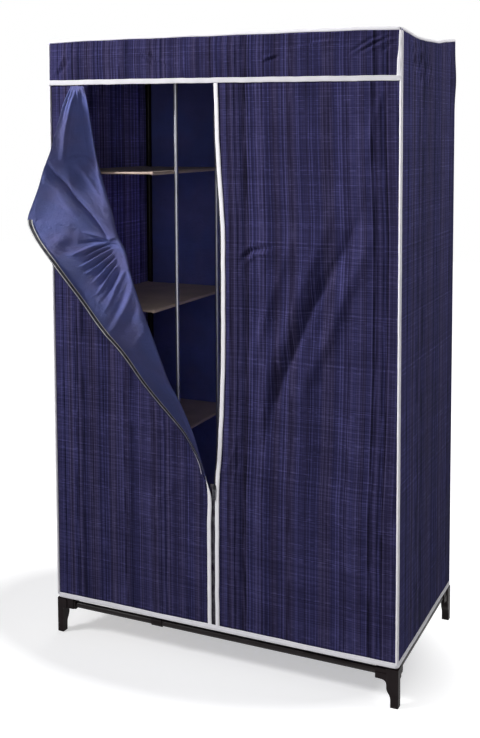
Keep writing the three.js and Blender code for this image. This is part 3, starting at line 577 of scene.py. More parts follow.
def make_cloth(name, columns, rows, place, *finishes):
    """A sheet of cloth: place(s, t) gives x, y, z and the cloth's own u, v in millimetres."""
    piece, s, t = new_grid(name, columns, rows)
    x, y, z, u, v = place(s, t)
    set_points(piece, line(x, y, z))
    set_uv(piece, u, v)
    for material in finishes:
        piece.data.materials.append(finish(material))
    shell = piece.modifiers.new("cloth", "SOLIDIFY")
    shell.thickness = size("cloth_thickness") * MM
    shell.offset = -1
    shell.use_even_offset = False
    shell.material_offset = shell.material_offset_rim = len(finishes) - 1
    apply_modifiers(piece)
    smooth(piece, 60)
    return piece


def loft(name, rings, across, along, material, closed=False):
    """A closed skin through rings of points: rings is rows x points x 3, each ring a closed loop."""
    rings = np.asarray(rings, float)
    count, around = rings.shape[:2]
    rows = count if closed else count - 1
    piece, s, t = new_grid(name, around, rows)
    column = np.rint(s * around).astype(int) % around
    row = np.rint(t * rows).astype(int)
    set_points(piece, rings[row % count, column])
    lengths = np.append(along, 2 * along[-1] - along[-2]) if closed else np.asarray(along)
    set_uv(piece, np.asarray(across)[column], lengths[row])
    piece.data.materials.append(finish(material))
    pick(piece)
    bpy.ops.object.mode_set(mode="EDIT")
    bpy.ops.mesh.select_all(action="SELECT")
    bpy.ops.mesh.remove_doubles(threshold=WELD)
    bpy.ops.mesh.normals_make_consistent(inside=False)
    bpy.ops.object.mode_set(mode="OBJECT")
    smooth(piece, 65)
    return piece


def ribbon(name, centre, across, out, width, thickness, material, closed=False, square=3.2, points=12):
    """A folded tape or piping along a path. across and out are its directions at each point."""
    across, out = (unit(np.broadcast_to(np.asarray(way, float), centre.shape)) for way in (across, out))
    width, thickness = (np.broadcast_to(np.asarray(wide, float), len(centre)) for wide in (width, thickness))
    turn = np.linspace(0, 2 * math.pi, points, endpoint=False) + math.pi / points
    round_x, round_y = (np.sign(way) * np.abs(way) ** (2 / square) for way in (np.cos(turn), np.sin(turn)))
    rings = (
        centre[:, None]
        + across[:, None] * (width[:, None] / 2 * round_x)[..., None]
        + out[:, None] * (thickness[:, None] / 2 * round_y)[..., None]
    )
    lengths = path_lengths(centre)
    if not closed:
        # Each end is rounded by one smaller ring and a last one with no size
        ends = []
        for end, inner in ((0, 1), (-1, -2)):
            reach = unit(centre[end] - centre[inner]) * thickness[end] / 2
            ends.append(centre[end] + (rings[end] - centre[end]) * END_SHARE + reach * END_SHARE)
            ends.append(np.broadcast_to(centre[end] + reach, (points, 3)))
        rings = np.concatenate([[ends[1], ends[0]], rings, ends[2:]])
        lengths = np.concatenate([[-1, -0.7], lengths, lengths[-1] + [0.7, 1]])
    return loft(name, rings, round_x * width.mean() / 2, lengths, material, closed)


def coil(name, centre, across, out, width, height, material):
    """The zip's coil: one flattened turn, repeated and laid along a path."""
    lengths = path_lengths(centre)
    pitch, wire = size("coil_pitch"), 0.34
    bpy.ops.mesh.primitive_torus_add(
        major_segments=8, minor_segments=4, major_radius=1.0, minor_radius=wire, location=(0, 0, 0)
    )
    piece = named(name)
    x, y, z = read_points(piece).T
    reach = 2 * (1 + wire)
    one = line(x / reach * width, y / reach * height, (z + wire * 2 * x / reach) * pitch * 0.42 + pitch / 2)
    piece.data.vertices.foreach_set("co", one.ravel())
    row = piece.modifiers.new("turns", "ARRAY")
    row.use_relative_offset = False
    row.use_constant_offset = True
    row.constant_offset_displace = (0, 0, pitch)
    row.count = int(lengths[-1] / pitch)
    apply_modifiers(piece)
    x, y, z = read_points(piece).T
    middle, across, out = (
        read_along(np.broadcast_to(way, centre.shape), lengths, z) for way in (centre, unit(across), unit(out))
    )
    set_points(piece, middle + across * x[:, None] + out * y[:, None])
    piece.data.materials.append(finish(material))
    smooth(piece, 60)
    return piece


def trim(piece, body, slot, *replaced):
    """Hides the parts a piece replaces, and hangs it on its body's empty when it has one; its slot is not used."""
    if replaced:
        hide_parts(*replaced)
    if body:
        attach(piece, body)


def sew(
    piece, body, flat, *replaced, held="hung", slot="navy_cloth", rests_on=("header_binding",), area=None,
    with_pieces=(),
):
    """The same for a sheet of cloth; its flat size and what holds it are not used."""
    trim(piece, body, slot, *replaced)


# Folds


def crease(x, z, points, width, height, taper=0.7):
    """A ridge, or a valley with a height below nothing, along a bent line in a sheet's plane."""
    points = np.asarray(points, float)
    steps = np.hypot(*np.diff(points, axis=0).T)
    nearest = np.full(np.shape(x), np.inf)
    place = np.zeros(np.shape(x))
    done = 0.0
    for (ax, az), (bx, bz), step in zip(points[:-1], points[1:], steps):
        share = np.clip(((x - ax) * (bx - ax) + (z - az) * (bz - az)) / step**2, 0, 1)
        away = np.hypot(x - ax - share * (bx - ax), z - az - share * (bz - az))
        place = np.where(away < nearest, (done + share * step) / steps.sum(), place)
        nearest = np.minimum(nearest, away)
        done += step
    return height * np.sin(np.pi * np.clip(place, 0.02, 0.98)) ** taper * hump(nearest, 0, width)


def creases(x, z, table):
    return sum(crease(x, z, *row) for row in table)


def wander(x, z, length, seed):
    """A slow, gentle unevenness between -1 and 1."""
    across = np.sin(x / length + 1.3 * np.sin(z / (length * 1.7) + seed) + seed)
    return across * np.cos(z / (length * 1.25) + 0.8 * np.sin(x / (length * 0.9) - seed))


def upright_folds(x, z, seed):
    """The hanging folds of a door."""
    drift = 14 * np.sin(z / 310 + seed)
    small = 0.8 * np.sin((x + 1.7 * drift) / 9.5 + 0.7) * ease(np.sin(x / 53 + z / 400 + seed), 0.1, 0.9)
    return 0.55 * np.sin((x + drift) / 17.0 + seed) + 0.9 * np.sin((x - 0.6 * drift) / 31.0 + 2.1 + seed) + small


def arch(share, power):
    """0 at both ends and 1 in the middle, steeper at the ends with a small power."""
    return np.sin(np.pi * np.clip(share, 0, 1)) ** power


def header_edge(x):
    return np.interp(x, *np.array(HEADER_EDGE, float).T)


def right_edge(z):
    table = np.array(RIGHT_EDGE, float).T
    return sum(np.interp(z + shift, *table) for shift in (-14, -7, 0, 7, 14)) / 5


def side_drop(y):
    """How far the cover's top edge hangs along a side, from the front to the back."""
    return np.interp(y, (-246, -200, -100, 20, 150, 246), (2.5, 6.5, 12.5, 9.5, 3.0, 0.5))


def header_flare(x):
    """How far the header and its band stand out at their left end."""
    return 2.0 * hump(x, -450, 60)


# Stage and frame

# Name, place, aim, size, power and spread in degrees
LAMPS = (
    ("key", (-2.4, -1.9, 2.6), (0.0, -0.2, 1.3), 0.8, 19.6, 66),
    ("side", (2.3, 0.75, 2.6), (0.45, 0.0, 1.4), 1.0, 5.0, 60),
    ("front", (0.9, -2.6, 1.3), (-0.2, 0.0, 0.9), 1.3, 6.4, 180),
    ("back", (-0.9, 2.9, 2.6), (0.0, 0.2, 0.9), 1.6, 14.0, 180),
)
CAMERA_PLACE = (1.0684, -2.4349 + MIDDLE_Y, 1.2688)
CAMERA_TURN = (0.44127, 0.07591, -0.00519)
CAMERA_LENS, CAMERA_SHIFT = 51.40, (0.01936, -0.2074)
WHITE, BLACK = (1, 1, 1, 1), (0, 0, 0, 1)


def lay_floor():
    bpy.ops.mesh.primitive_plane_add(size=16, location=(0, 0, -0.0005))
    floor = named("floor")
    look = Finish("pale_floor")
    look.set(Base_Color=(0.74, 0.74, 0.75, 1), Roughness=0.85, Specular_IOR_Level=0.15)
    # The floor also glows for the camera and in reflections. The lamps fade with distance, so the glow is full beyond
    # an oval round the object and the floor is white there. That is painted light, which also washes out the far part
    # of the object's shadow. Inside the oval, which is set off to the left, the glow is weaker: painted shade that
    # deepens the shadow under and in front of the object.
    painted_shade_oval = look.node("Mapping", {"Vector": look.place("Object"), "Location": (0.3, 0.15, 0), "Scale": (1.9, 3.4, 1)})
    away = look.node("VectorMath", {0: painted_shade_oval}, "Value", operation="LENGTH")
    backdrop_glow_with_painted_shade = look.node("Emission", {"Color": WHITE, "Strength": look.span(away, 1.05, 1.5, 0.46, 1.0)})
    dark = look.node("Emission", {"Color": BLACK, "Strength": 0.0})
    chosen = look.node("MixShader", {0: look.seen("Camera", "Glossy"), 1: dark, 2: backdrop_glow_with_painted_shade})
    both = look.node("AddShader", {0: look.shader.outputs[0], 1: chosen})
    look.put(look.nodes["Material Output"].inputs["Surface"], both)
    floor.data.materials.append(look.material)


def light_world(scene):
    """Dim light all round, behind which the camera sees white."""
    world = scene.world = bpy.data.worlds.new("studio")
    world.use_nodes = True
    sky = Graph(world.node_tree)
    dim, bright = (sky.node("Background", {"Color": WHITE, "Strength": strength}) for strength in (0.22, 1.0))
    chosen = sky.node("MixShader", {0: sky.seen("Camera", "Transmission"), 1: dim, 2: bright})
    sky.put(sky.nodes["World Output"].inputs["Surface"], chosen)


def hang_lamps():
    for name, place, aim, width, power, spread in LAMPS:
        bpy.ops.object.light_add(type="AREA", location=place)
        lamp = bpy.context.object
        lamp.name = name
        lamp.data.size = width
        lamp.data.energy = power
        lamp.data.spread = math.radians(spread)
        lamp.rotation_euler = (Vector(aim) - Vector(place)).to_track_quat("-Z", "Y").to_euler()


def set_camera(scene):
    yaw, pitch, roll = CAMERA_TURN
    forward = Vector((-math.sin(yaw) * math.cos(pitch), math.cos(yaw) * math.cos(pitch), -math.sin(pitch)))
    right = Vector((math.cos(yaw), math.sin(yaw), 0))
    up = right.cross(forward)
    rolled = right * math.cos(roll) + up * math.sin(roll)
    upright = up * math.cos(roll) - right * math.sin(roll)
    lens = bpy.data.cameras.new("camera")
    lens.lens = CAMERA_LENS
    lens.shift_x, lens.shift_y = CAMERA_SHIFT
    camera = scene.camera = bpy.data.objects.new("camera", lens)
    scene.collection.objects.link(camera)
    turned = Matrix((rolled, upright, -forward)).transposed().to_4x4()
    camera.matrix_world = Matrix.Translation(CAMERA_PLACE) @ turned


class WARDROBE_OT_stage(bpy.types.Operator):
    """Sets the pale floor, the soft lamps, the world and the camera"""

    bl_idname = "wardrobe.stage"
    bl_label = "Stage"

    def execute(self, context):
        context.scene.view_settings.view_transform = "Standard"
        lay_floor()
        light_world(context.scene)
        hang_lamps()
        set_camera(context.scene)
        return {"FINISHED"}


# Each finish of the frame, and how the names of its nodes start; the first that fits counts
NODE_FINISHES = {
    "moulded_plastic": ("leg_", "top_joint_", "divider_base_tee", "divider_top_tee", "hanging_rail_tee"),
    "plated_tube": ("divider_upright", "hanging_rail"),
    "painted_tube": ("base_rail", "top_rail", "upright_", "divider_"),
    "zip_metal": ("zip_slider", "zip_pull"),
}


class WARDROBE_OT_frame_finishes(bpy.types.Operator):
    """Gives the tubes, joints, feet and the zip's metal their finishes"""

    bl_idname = "wardrobe.frame_finishes"
    bl_label = "Frame finishes"

    def execute(self, context):
        for name, node in NODES.items():
            wanted = next((look for look, starts in NODE_FINISHES.items() if name.startswith(starts)), None)
            if wanted:
                node.data.materials.clear()
                node.data.materials.append(finish(wanted))
        return {"FINISHED"}


# Shelves, panels and header


def shelf_rings(number, left, right, front, back, middle_z, sleeve):
    """Outlines across a shelf from its front to its back, and where each one lies."""
    turn = np.linspace(0, 2 * math.pi, 60, endpoint=False)
    # A round sleeve at each side, with the flat cloth between them
    way = np.cos(turn)
    x = (left + right) / 2 + (right - left) / 2 * np.sign(way) * np.abs(way) ** 0.62
    to_sleeve = np.minimum(x - left, right - x)
    round_part = np.sqrt(np.maximum(0, (sleeve / 2) ** 2 - (to_sleeve - sleeve / 2) ** 2))
    beside = ease(to_sleeve, sleeve * 0.5, sleeve * 1.5)
    tall = np.where(to_sleeve < sleeve / 2, round_part, round_part * (1 - beside) + SHELF_HALF * beside)
    tall = np.maximum(tall, np.where(to_sleeve > sleeve / 2, SHELF_HALF * 0.9, 0))
    level = np.sign(np.sin(turn)) * tall
    level[np.abs(np.sin(turn)) < 1e-6] = 0
    places = np.concatenate(
        [np.linspace(front, front + 6, 5), np.linspace(front + 14, back - 14, 44), np.linspace(back - 6, back, 5)]
    )
    rings = []
    for y in places:
        # Its front and back edges are rounded too
        inside = min(1, min(y - front, back - y) / SHELF_HALF)
        edge = min(1.0, math.sqrt(max(0.0, 1 - (1 - inside) ** 2)) + 0.02)
        sag = -2.6 * math.sin(math.pi * (y - front) / (back - front)) * np.sin(np.pi * (x - left) / (right - left))
        pucker = 0.5 * np.sin(y / 7.5 + number) * hump(to_sleeve, sleeve, 9)
        rings.append(line(x, y, middle_z + level * edge + sag + pucker * beside))
    ends = [line(x, y, middle_z) for y in (front, back)]
    return [ends[0], *rings, ends[1]], np.array([front - 1, *places, back + 1]), x


class WARDROBE_OT_shelves(bpy.types.Operator):
    """Makes the four cloth shelves, each with a rod sleeve along both sides"""

    bl_idname = "wardrobe.shelves"
    bl_label = "Shelves"

    def execute(self, context):
        for number in range(1, 5):
            node = f"shelf_{number}"
            low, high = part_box(node)
            left, right = low.x / MM, high.x / MM
            front, back = ((corner.y - MIDDLE_Y) / MM for corner in (low, high))
            middle_z, sleeve = (low.z + high.z) / 2 / MM, (high.z - low.z) / MM
            rings, lengths, x = shelf_rings(number, left, right, front, back, middle_z, sleeve)
            piece = loft(f"cloth_{node}", rings, x, lengths, "shelf_cloth")
            sew(
                piece, "cabinet", ((right - left) * MM, (back - front) * MM), node,
                held="stretched", slot="shelf_cloth", rests_on=("divider_upright_front", "upright_front_left"),
            )
        return {"FINISHED"}


SIDE_CREASES = (
    # wrinkles fanned out from the front top corner, and drag lines to the hem
    *(
        (((start, 1484 - index), (start + 34, 1450), (start + 80, 1392 - 8 * index)), 6, height)
        for index, (start, height) in enumerate(zip(range(-204, -41, 27), (2.2, 3.2, 3.8, 3.4, 2.8, 2.2, 1.6)))
    ),
    (((-205, 1470), (-150, 1440), (-90, 1380)), 9, -1.6),
    (((120, 1480), (170, 1452), (232, 1440)), 7, 1.6),
    (((90, 1484), (120, 1440), (140, 1380)), 6, 1.0),
    (((-225, 120), (-120, 200), (20, 240)), 10, 1.2),
    (((210, 130), (120, 260), (60, 420)), 12, 1.1),
)
BACK_CREASES = [
    row
    for side in (-1, 1)
    for row in (
        (((side * 430, 1490), (side * 350, 1430), (side * 260, 1390)), 8, 1.8),
        (((side * 420, 1480), (side * 385, 1380), (side * 360, 1280)), 9, 1.4),
    )
]
ROOF_CREASES = [
    (((side_x * 400, side_y * 200), (side_x * 300, side_y * 130), (side_x * 180, side_y * 80)), 12, 1.6)
    for side_x in (-1, 1)
    for side_y in (-1, 1)
]


def side_place(sign):
    """Place function of a side panel; sign is 1 on the right and -1 on the left."""

    def place(s, t):
        share = s if sign > 0 else 1 - s
        y = between(-HALF_DEPTH + DOOR_INSET, HALF_DEPTH - 2.2, share)
        z = between(HEM_TOP - PANEL_TUCK, TOP_Z - 4.5 - side_drop(y), t)
        hang = arch(share, 0.6) * arch(t, 0.4)
        push = hang * (0.9 * wander(y, z, 90, 1.0 * sign) + 0.5 * upright_folds(y, z, 2.0 + sign))
        push = push + creases(y, z, SIDE_CREASES) + 3.2 * hump(y, 243, 40) * hump(z, 1405, 42)
        return sign * (HALF_WIDTH - 2.6 + push), y, z, 0.46 * (y + HALF_DEPTH), z

    return place


class WARDROBE_OT_side_panels(bpy.types.Operator):
    """Makes the two side panels of the cover"""

    bl_idname = "wardrobe.side_panels"
    bl_label = "Side panels"

    def execute(self, context):
        for side, sign in (("right", 1), ("left", -1)):
            piece = make_cloth(f"cloth_side_{side}", 110, 250, side_place(sign), "navy_cloth", "navy_reverse")
            sew(piece, "cabinet", (0.486, 1.39), f"side_panel_{side}", rests_on=("roof_piping",))
        return {"FINISHED"}


class WARDROBE_OT_back(bpy.types.Operator):
    """Makes the back panel of the cover"""

    bl_idname = "wardrobe.back"
    bl_label = "Back panel"

    def execute(self, context):
        def place(s, t):
            x = (0.5 - s) * 2 * (HALF_WIDTH - PANEL_INSET)
            z = between(HEM_TOP - PANEL_TUCK, TOP_Z - BAND_TUCK, t)
            push = arch(s, 0.6) * arch(t, 0.4) * (1.6 * wander(x, z, 120, 3.0) + 0.9 * upright_folds(x, z, 4.0))
            return x, HALF_DEPTH - PANEL_INSET + push + creases(x, z, BACK_CREASES), z, -x + HALF_WIDTH, z

        piece = make_cloth("cloth_back", 120, 180, place, "navy_cloth", "back_lining")
        sew(piece, "cabinet", (0.895, 1.39), "back_panel", rests_on=("roof_piping",))
        return {"FINISHED"}


class WARDROBE_OT_roof(bpy.types.Operator):
    """Makes the roof of the cover, sagging between its rails"""

    bl_idname = "wardrobe.roof"
    bl_label = "Roof"

    def execute(self, context):
        def place(s, t):
            x = (s - 0.5) * 2 * (HALF_WIDTH - ROOF_INSET)
            y = (t - 0.5) * 2 * (HALF_DEPTH - ROOF_INSET)
            at_side = np.abs(x) / HALF_WIDTH
            # Over the top rails and the shelf bay's the cloth lies on them; between them it hangs
            sag = np.clip(1 - (x / 425) ** 2, 0, 1) ** 0.7 * np.clip(1 - (y / 222) ** 2, 0, 1) ** 0.7
            z = TOP_Z - 4.0 - side_drop(y) * ease(at_side, 0.9, 1.0) - 7.5 * sag * (1 - 0.75 * hump(x, -163, 60))
            z = z - 3.5 * (1 - ease(np.abs(y), 205, 238)) * ease(at_side, 0.55, 0.9)
            z = z + creases(x, y, ROOF_CREASES) + 0.6 * sag * wander(x, y, 55, 1.0)
            return x, y, z, x + HALF_WIDTH, y + HALF_DEPTH

        piece = make_cloth("cloth_roof", 110, 70, place, "navy_cloth")
        rails = ("top_rail_front", "top_rail_rear")
        sew(piece, "cabinet", (0.892, 0.484), "roof_panel", held="stretched", rests_on=rails)
        return {"FINISHED"}


HEADER_CREASES = (
    (((330, 1444), (375, 1472), (426, 1490)), 3.4, -4.4),
    (((334, 1440), (380, 1466), (430, 1486)), 3.6, 3.6),
    (((352, 1446), (390, 1466), (432, 1480)), 3.2, -4.0),
    (((360, 1440), (398, 1460), (436, 1476)), 3.6, 3.4),
    (((396, 1440), (418, 1456), (438, 1470)), 4.0, -2.6),
    (((180, 1462), (266, 1476), (340, 1487)), 4.5, -3.0),
    (((184, 1456), (268, 1470), (344, 1482)), 5.0, 2.6),
    (((126, 1430), (148, 1437), (170, 1443)), 4.0, -4.2),
    (((128, 1438), (146, 1444), (166, 1450)), 4.5, 3.2),
    (((-206, 1470), (-171, 1451), (-146, 1430)), 3.4, -4.6),
    (((-200, 1476), (-165, 1457), (-138, 1436)), 3.8, 3.6),
    (((-156, 1470), (-153, 1447), (-140, 1432)), 3.2, -3.6),
    (((-80, 1414), (-106, 1427), (-146, 1442)), 3.8, -3.0),
    (((-84, 1421), (-110, 1434), (-150, 1449)), 4.0, 2.6),
    (((-420, 1491), (-357, 1488), (-300, 1480)), 5.0, -2.8),
    (((-440, 1402), (-405, 1430), (-380, 1462)), 5.0, -2.6),
    (((-440, 1412), (-414, 1440), (-394, 1470)), 5.0, 2.4),
    (((-20, 1486), (30, 1470), (90, 1464)), 8.0, 1.6),
)


class WARDROBE_OT_header(bpy.types.Operator):
    """Makes the header over the doors"""

    bl_idname = "wardrobe.header"
    bl_label = "Header"

    def execute(self, context):
        def place(s, t):
            x = between(-(HALF_WIDTH - BAND_TUCK + 3.5 * (1 - t) - 1.5 * t), HALF_WIDTH - BAND_TUCK, s)
            z = between(header_edge(x) + 8, TOP_Z - BAND_TUCK, t)
            push = 3.2 + 0.7 * wander(x, z, 46, 0.5) + 0.45 * np.sin(x / 13.0 + 0.8 * np.sin(z / 30))
            push = (push + creases(x, z, HEADER_CREASES)) * arch(t, 0.7) * np.clip(np.minimum(s, 1 - s) * 30, 0, 1)
            return x, DOOR_FRONT - 1.6 - push - header_flare(x) * (1 - t), z, x + HALF_WIDTH, z + 37

        piece = make_cloth("cloth_header", 300, 44, place, "navy_cloth", "door_lining")
        sew(piece, "cabinet", (0.895, 0.104), "header_panel", rests_on=("roof_piping",))
        return {"FINISHED"}


# Doors

RIGHT_DOOR_CREASES = (
    # the long valley across the door, and the swells on both sides of it
    (((366, 1110), (323, 1019), (286, 958), (242, 878), (208, 796), (173, 715), (140, 610), (120, 540)), 13, -10.0),
    (((392, 1060), (350, 980), (318, 905), (285, 820), (247, 745), (205, 650)), 17, 9.0),
    (((300, 1130), (262, 1020), (214, 912), (176, 810), (140, 720), (108, 620)), 18, 8.0),
    (((205, 1060), (158, 933), (118, 813), (92, 700)), 13, 4.5),
    (((158, 830), (160, 740), (163, 650)), 5, -3.4),
    # short creases drawn in from the bend of the free edge
    (((66, 976), (80, 992), (98, 1007), (156, 1017)), 4.5, -5.0),
    (((78, 972), (102, 996), (158, 1006)), 5, 4.4),
    (((60, 990), (92, 1018), (150, 1030)), 6, 2.6),
    (((92, 868), (138, 847), (180, 850)), 6, -2.2),
    (((14, 470), (40, 505), (60, 560)), 6, 2.6),
    (((22, 450), (48, 480), (78, 530)), 6, -2.2),
    (((300, 480), (330, 380), (350, 260)), 14, 3.0),
    (((120, 420), (150, 300), (150, 200)), 14, 2.6),
    (((410, 1370), (385, 1300), (372, 1200)), 9, 3.0),
    (((240, 1370), (238, 1290), (250, 1180)), 10, 2.4),
)
LEFT_DOOR_CREASES = (
    (((-60, 470), (-120, 420), (-200, 330)), 11, 2.0),
    (((-50, 430), (-90, 350), (-110, 250)), 10, -1.6),
    (((-380, 860), (-340, 700), (-330, 560)), 14, 1.6),
)


def right_door_push(x, z):
    """How far the right door's cloth stands out from its plane."""
    post = ease(HALF_WIDTH - x, 6, 60)
    free = ease(z, HEM_TOP, HEM_TOP + 90) * ease(header_edge(x) - z, 0, 60)
    push = post * (0.35 + 0.65 * free) * size("fold_depth") * 0.55 * upright_folds(x, z, 0.0)
    push = push + post * free * 1.6 * wander(x, z, 130, 2.0) + creases(x, z, RIGHT_DOOR_CREASES)
    # The free edge stands a little out where it bows
    return push + 3.0 * hump(x, right_edge(z), 60) * ease(z, 470, 800) * ease(1390 - z, 0, 200)


def right_door_room(x, z):
    """How far the cloth may hang inwards: hardly at all in front of the post, the rail and the base."""
    return 1 + 11 * ease(HALF_WIDTH - x, 24, 60) * ease(z, HEM_TOP, HEM_TOP + 60) * ease(header_edge(x) - z, 0, 50)


def bend_over_fold(piece):
    """Bakes the piece's placement into its mesh."""
    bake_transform(piece)


class WARDROBE_OT_right_door(bpy.types.Operator):
    """Makes the right door, one cloth from its zipped edge to the corner"""

    bl_idname = "wardrobe.right_door"
    bl_label = "Right door"

    def execute(self, context):
        def place(s, t):
            z = between(HEM_TOP - DOOR_TUCK, header_edge(200) + BAND_TUCK, t)
            left = right_edge(z) + 1.0
            x = between(left, HALF_WIDTH - DOOR_INSET, s)
            z = z + t * (header_edge(x) - header_edge(200))
            push = np.maximum(right_door_push(x, z), -right_door_room(x, z)) * ease(s, 0, 0.02) * ease(1 - s, 0, 0.03)
            return x, DOOR_FRONT - push, z, x - left * 0.5 + 460, z

        piece = make_cloth("cloth_right_door", 120, 300, place, "navy_cloth", "door_lining")
        sew(piece, None, (0.442, 1.30), "right_door", "right_door_corner")
        bend_over_fold(piece)
        return {"FINISHED"}


def fold_x(z):
    """x of the left door's fold line at a height, mirrored to the left."""
    return -between(FOLD_FOOT[0], FOLD_TOP[0], (z - FOLD_FOOT[1]) / (FOLD_TOP[1] - FOLD_FOOT[1]))


def zip_gap(z):
    """How much further the left door's edge stands from the closed zip, below the fold's foot."""
    return 2.2 * (1 - ease(z, 340, 410))


def tight_crest():
    """The crest's line with the cloth folded close: its points slide back along the camera's sight."""
    x, out, z = np.array(CREST, float).T
    kept = np.minimum(out, FOLD_GAP)
    return line(x - SIGHT_SLOPE * (out - kept), kept, z + (z - SIGHT_HEIGHT) / SIGHT_REACH * (out - kept))


def root_x(z):
    """x of the line where the left door's cloth leaves the door's plane to fold out."""
    x, _, crest_z = tight_crest()[::-1].T
    near = sum(np.interp(z + shift, crest_z, x) for shift in (-16, -8, 0, 8, 16)) / 5 - 8.0
    return np.minimum(fold_x(z), near)


class WARDROBE_OT_left_door(bpy.types.Operator):
    """Makes the part of the left door that stays in place"""

    bl_idname = "wardrobe.left_door"
    bl_label = "Left door"

    def execute(self, context):
        def place(s, t):
            z = between(HEM_TOP - DOOR_TUCK, header_edge(-400) + BAND_TUCK, t)
            above = z > FOLD_FOOT[1]
            fold = np.where(above, root_x(z), root_x(FOLD_FOOT[1])) + 0.8
            right = between(-9.0 - zip_gap(z), fold, np.where(above, 1, ease(z, 405, 440)))
            x = between(-(HALF_WIDTH - DOOR_INSET), right, s)
            post = ease(x + HALF_WIDTH, 6, 60)
            low = ease(z, HEM_TOP, HEM_TOP + 90)
            # Above the fold's foot the cloth is held flat beside the fold
            hold = np.where(above, ease(right - x, 0, 40), between(0.5, 1, ease(right - x, 0, 40)))
            folds = (0.4 + 0.6 * low) * size("fold_depth") * 0.5 * upright_folds(x, z, 5.0)
            push = post * (folds + 1.2 * wander(x, z, 110, 6.0)) + creases(x, z, LEFT_DOOR_CREASES)
            return x, DOOR_FRONT - np.maximum(hold * push, -1.0), z, x + HALF_WIDTH, z

        piece = make_cloth("cloth_left_door", 90, 240, place, "navy_cloth", "door_lining")
        sew(piece, "cabinet", (0.436, 1.30), "left_door", area=0.391)
        return {"FINISHED"}


# The folded-out corner

LONG_CREASE = ((-391, 1177), (-370, 1153), (-345, 1116), (-313, 1079), (-290, 1045))
FLAP_CREASES = (
    # the long crease from the left edge to the pucker, and the turn of the cloth beside it
    (((-406, 1208), *LONG_CREASE, (-272, 1019)), 2.2, -7.0, 0.35),
    (((-408, 1210), *LONG_CREASE, (-270, 1016)), 5.0, -4.5, 0.35),
    (((-396, 1214), (-380, 1186), (-358, 1162), (-332, 1124), (-302, 1088), (-278, 1056)), 9.0, 5.0, 0.5),
    (((-416, 1190), (-402, 1164), (-382, 1138), (-356, 1102), (-326, 1066), (-302, 1036)), 10.0, 5.0, 0.5),
    # creases from the pleat's end towards the crest
    (((-358, 1215), (-341, 1190), (-314, 1150), (-298, 1128)), 4.0, 5.0, 0.6),
    (((-366, 1206), (-350, 1180), (-324, 1142)), 4.5, -4.0, 0.6),
    (((-347, 1225), (-334, 1216), (-300, 1172), (-281, 1150)), 5.0, 4.0, 0.6),
    (((-371, 1219), (-347, 1227), (-320, 1211)), 3.6, -6.0, 0.6),
    # short puckers on the crest's side
    (((-272, 1016), (-264, 1024), (-250, 1027)), 4.0, 4.0, 0.7),
    (((-270, 1008), (-257, 1008), (-244, 1004)), 4.0, -3.6, 0.7),
    # puckers drawn together beside the crest, fanning out to the left and down
    (((-268, 1020), (-298, 1031), (-322, 1038)), 3.4, 8.0, 0.5),
    (((-268, 1012), (-301, 1017), (-334, 1012)), 3.4, -7.0, 0.5),
    (((-268, 1014), (-301, 1006), (-344, 985)), 3.4, 8.5, 0.5),
    (((-266, 1010), (-297, 999), (-330, 983)), 3.0, -7.0, 0.5),
    (((-268, 1006), (-297, 993), (-319, 978)), 3.0, 7.0, 0.5),
    (((-264, 1001), (-294, 986), (-322, 966)), 3.0, -7.0, 0.5),
    (((-264, 998), (-292, 980), (-326, 956)), 3.2, 8.0, 0.5),
    (((-262, 990), (-284, 974), (-318, 948)), 3.0, -7.0, 0.5),
    (((-260, 986), (-280, 968), (-316, 938)), 3.2, 7.0, 0.5),
    (((-258, 978), (-276, 960), (-302, 932)), 3.2, -7.0, 0.5),
    (((-256, 972), (-274, 952), (-298, 918)), 3.4, 8.0, 0.5),
    (((-254, 964), (-268, 944), (-288, 908)), 3.4, -7.0, 0.5),
    (((-252, 958), (-268, 932), (-284, 890)), 3.6, 7.5, 0.5),
    (((-244, 950), (-258, 918), (-270, 868)), 4.0, -5.5, 0.5),
    (((-232, 946), (-248, 908), (-256, 852)), 4.5, 6.0, 0.5),
    # soft folds below and to the left
    (((-338, 1052), (-357, 1008), (-368, 972)), 12.0, -4.0, 0.8),
    (((-396, 1006), (-368, 1021), (-326, 1032)), 12.0, 4.0, 0.8),
    (((-222, 925), (-236, 862), (-240, 806)), 6.0, -5.0, 0.8),
    (((-208, 915), (-224, 840), (-232, 782)), 6.0, 6.0, 0.8),
    (((-190, 905), (-206, 826), (-212, 766)), 7.0, -4.0, 0.8),
    (((-170, 830), (-182, 780), (-180, 740)), 7.0, 3.0, 0.8),
    (((-120, 700), (-116, 672), (-104, 650)), 7.0, 2.6, 0.8),
    (((-96, 668), (-88, 640), (-96, 622)), 5.0, -3.4, 0.8),
    (((-84, 622), (-70, 612), (-62, 596)), 5.0, 4.0, 0.8),
    (((-66, 600), (-60, 585), (-52, 566)), 4.0, -3.0, 0.8),
)
# Where the pleat lies across the corner, at shares of the way down
PLEAT = ((0.0, 0.06, 0.115, 0.16, 0.19), (0.565, 0.64, 0.695, 0.66, 0.63))
# Gathers just under the header: place across, width and height
GATHERS = ((0.12, 0.05, 2.2), (0.3, 0.04, -2.6), (0.46, 0.045, 2.4), (0.8, 0.04, 2.5), (0.9, 0.035, -2.5))
# Swells of the cloth: x, z, their radii and their height
SWELLS = ((-360, 1064, 60, 76, 16), (-300, 925, 75, 70, -20), (-205, 800, 60, 70, 4))
FLAP_COLUMNS, BEHIND_COLUMNS, FLAP_ROWS = 112, 24, 300
FLAP_MIDDLE = DOOR_FRONT + 0.8


def flap_shares():
    """Shares of the way down at which rows of points lie, closer together beside the puckers."""
    even = np.linspace(0, 1, 2001)
    rows = np.concatenate([[0], np.cumsum(1 + 1.7 * hump(even[1:], 0.44, 0.11))])
    return np.interp(np.linspace(0, rows[-1], FLAP_ROWS + 1), rows, even)


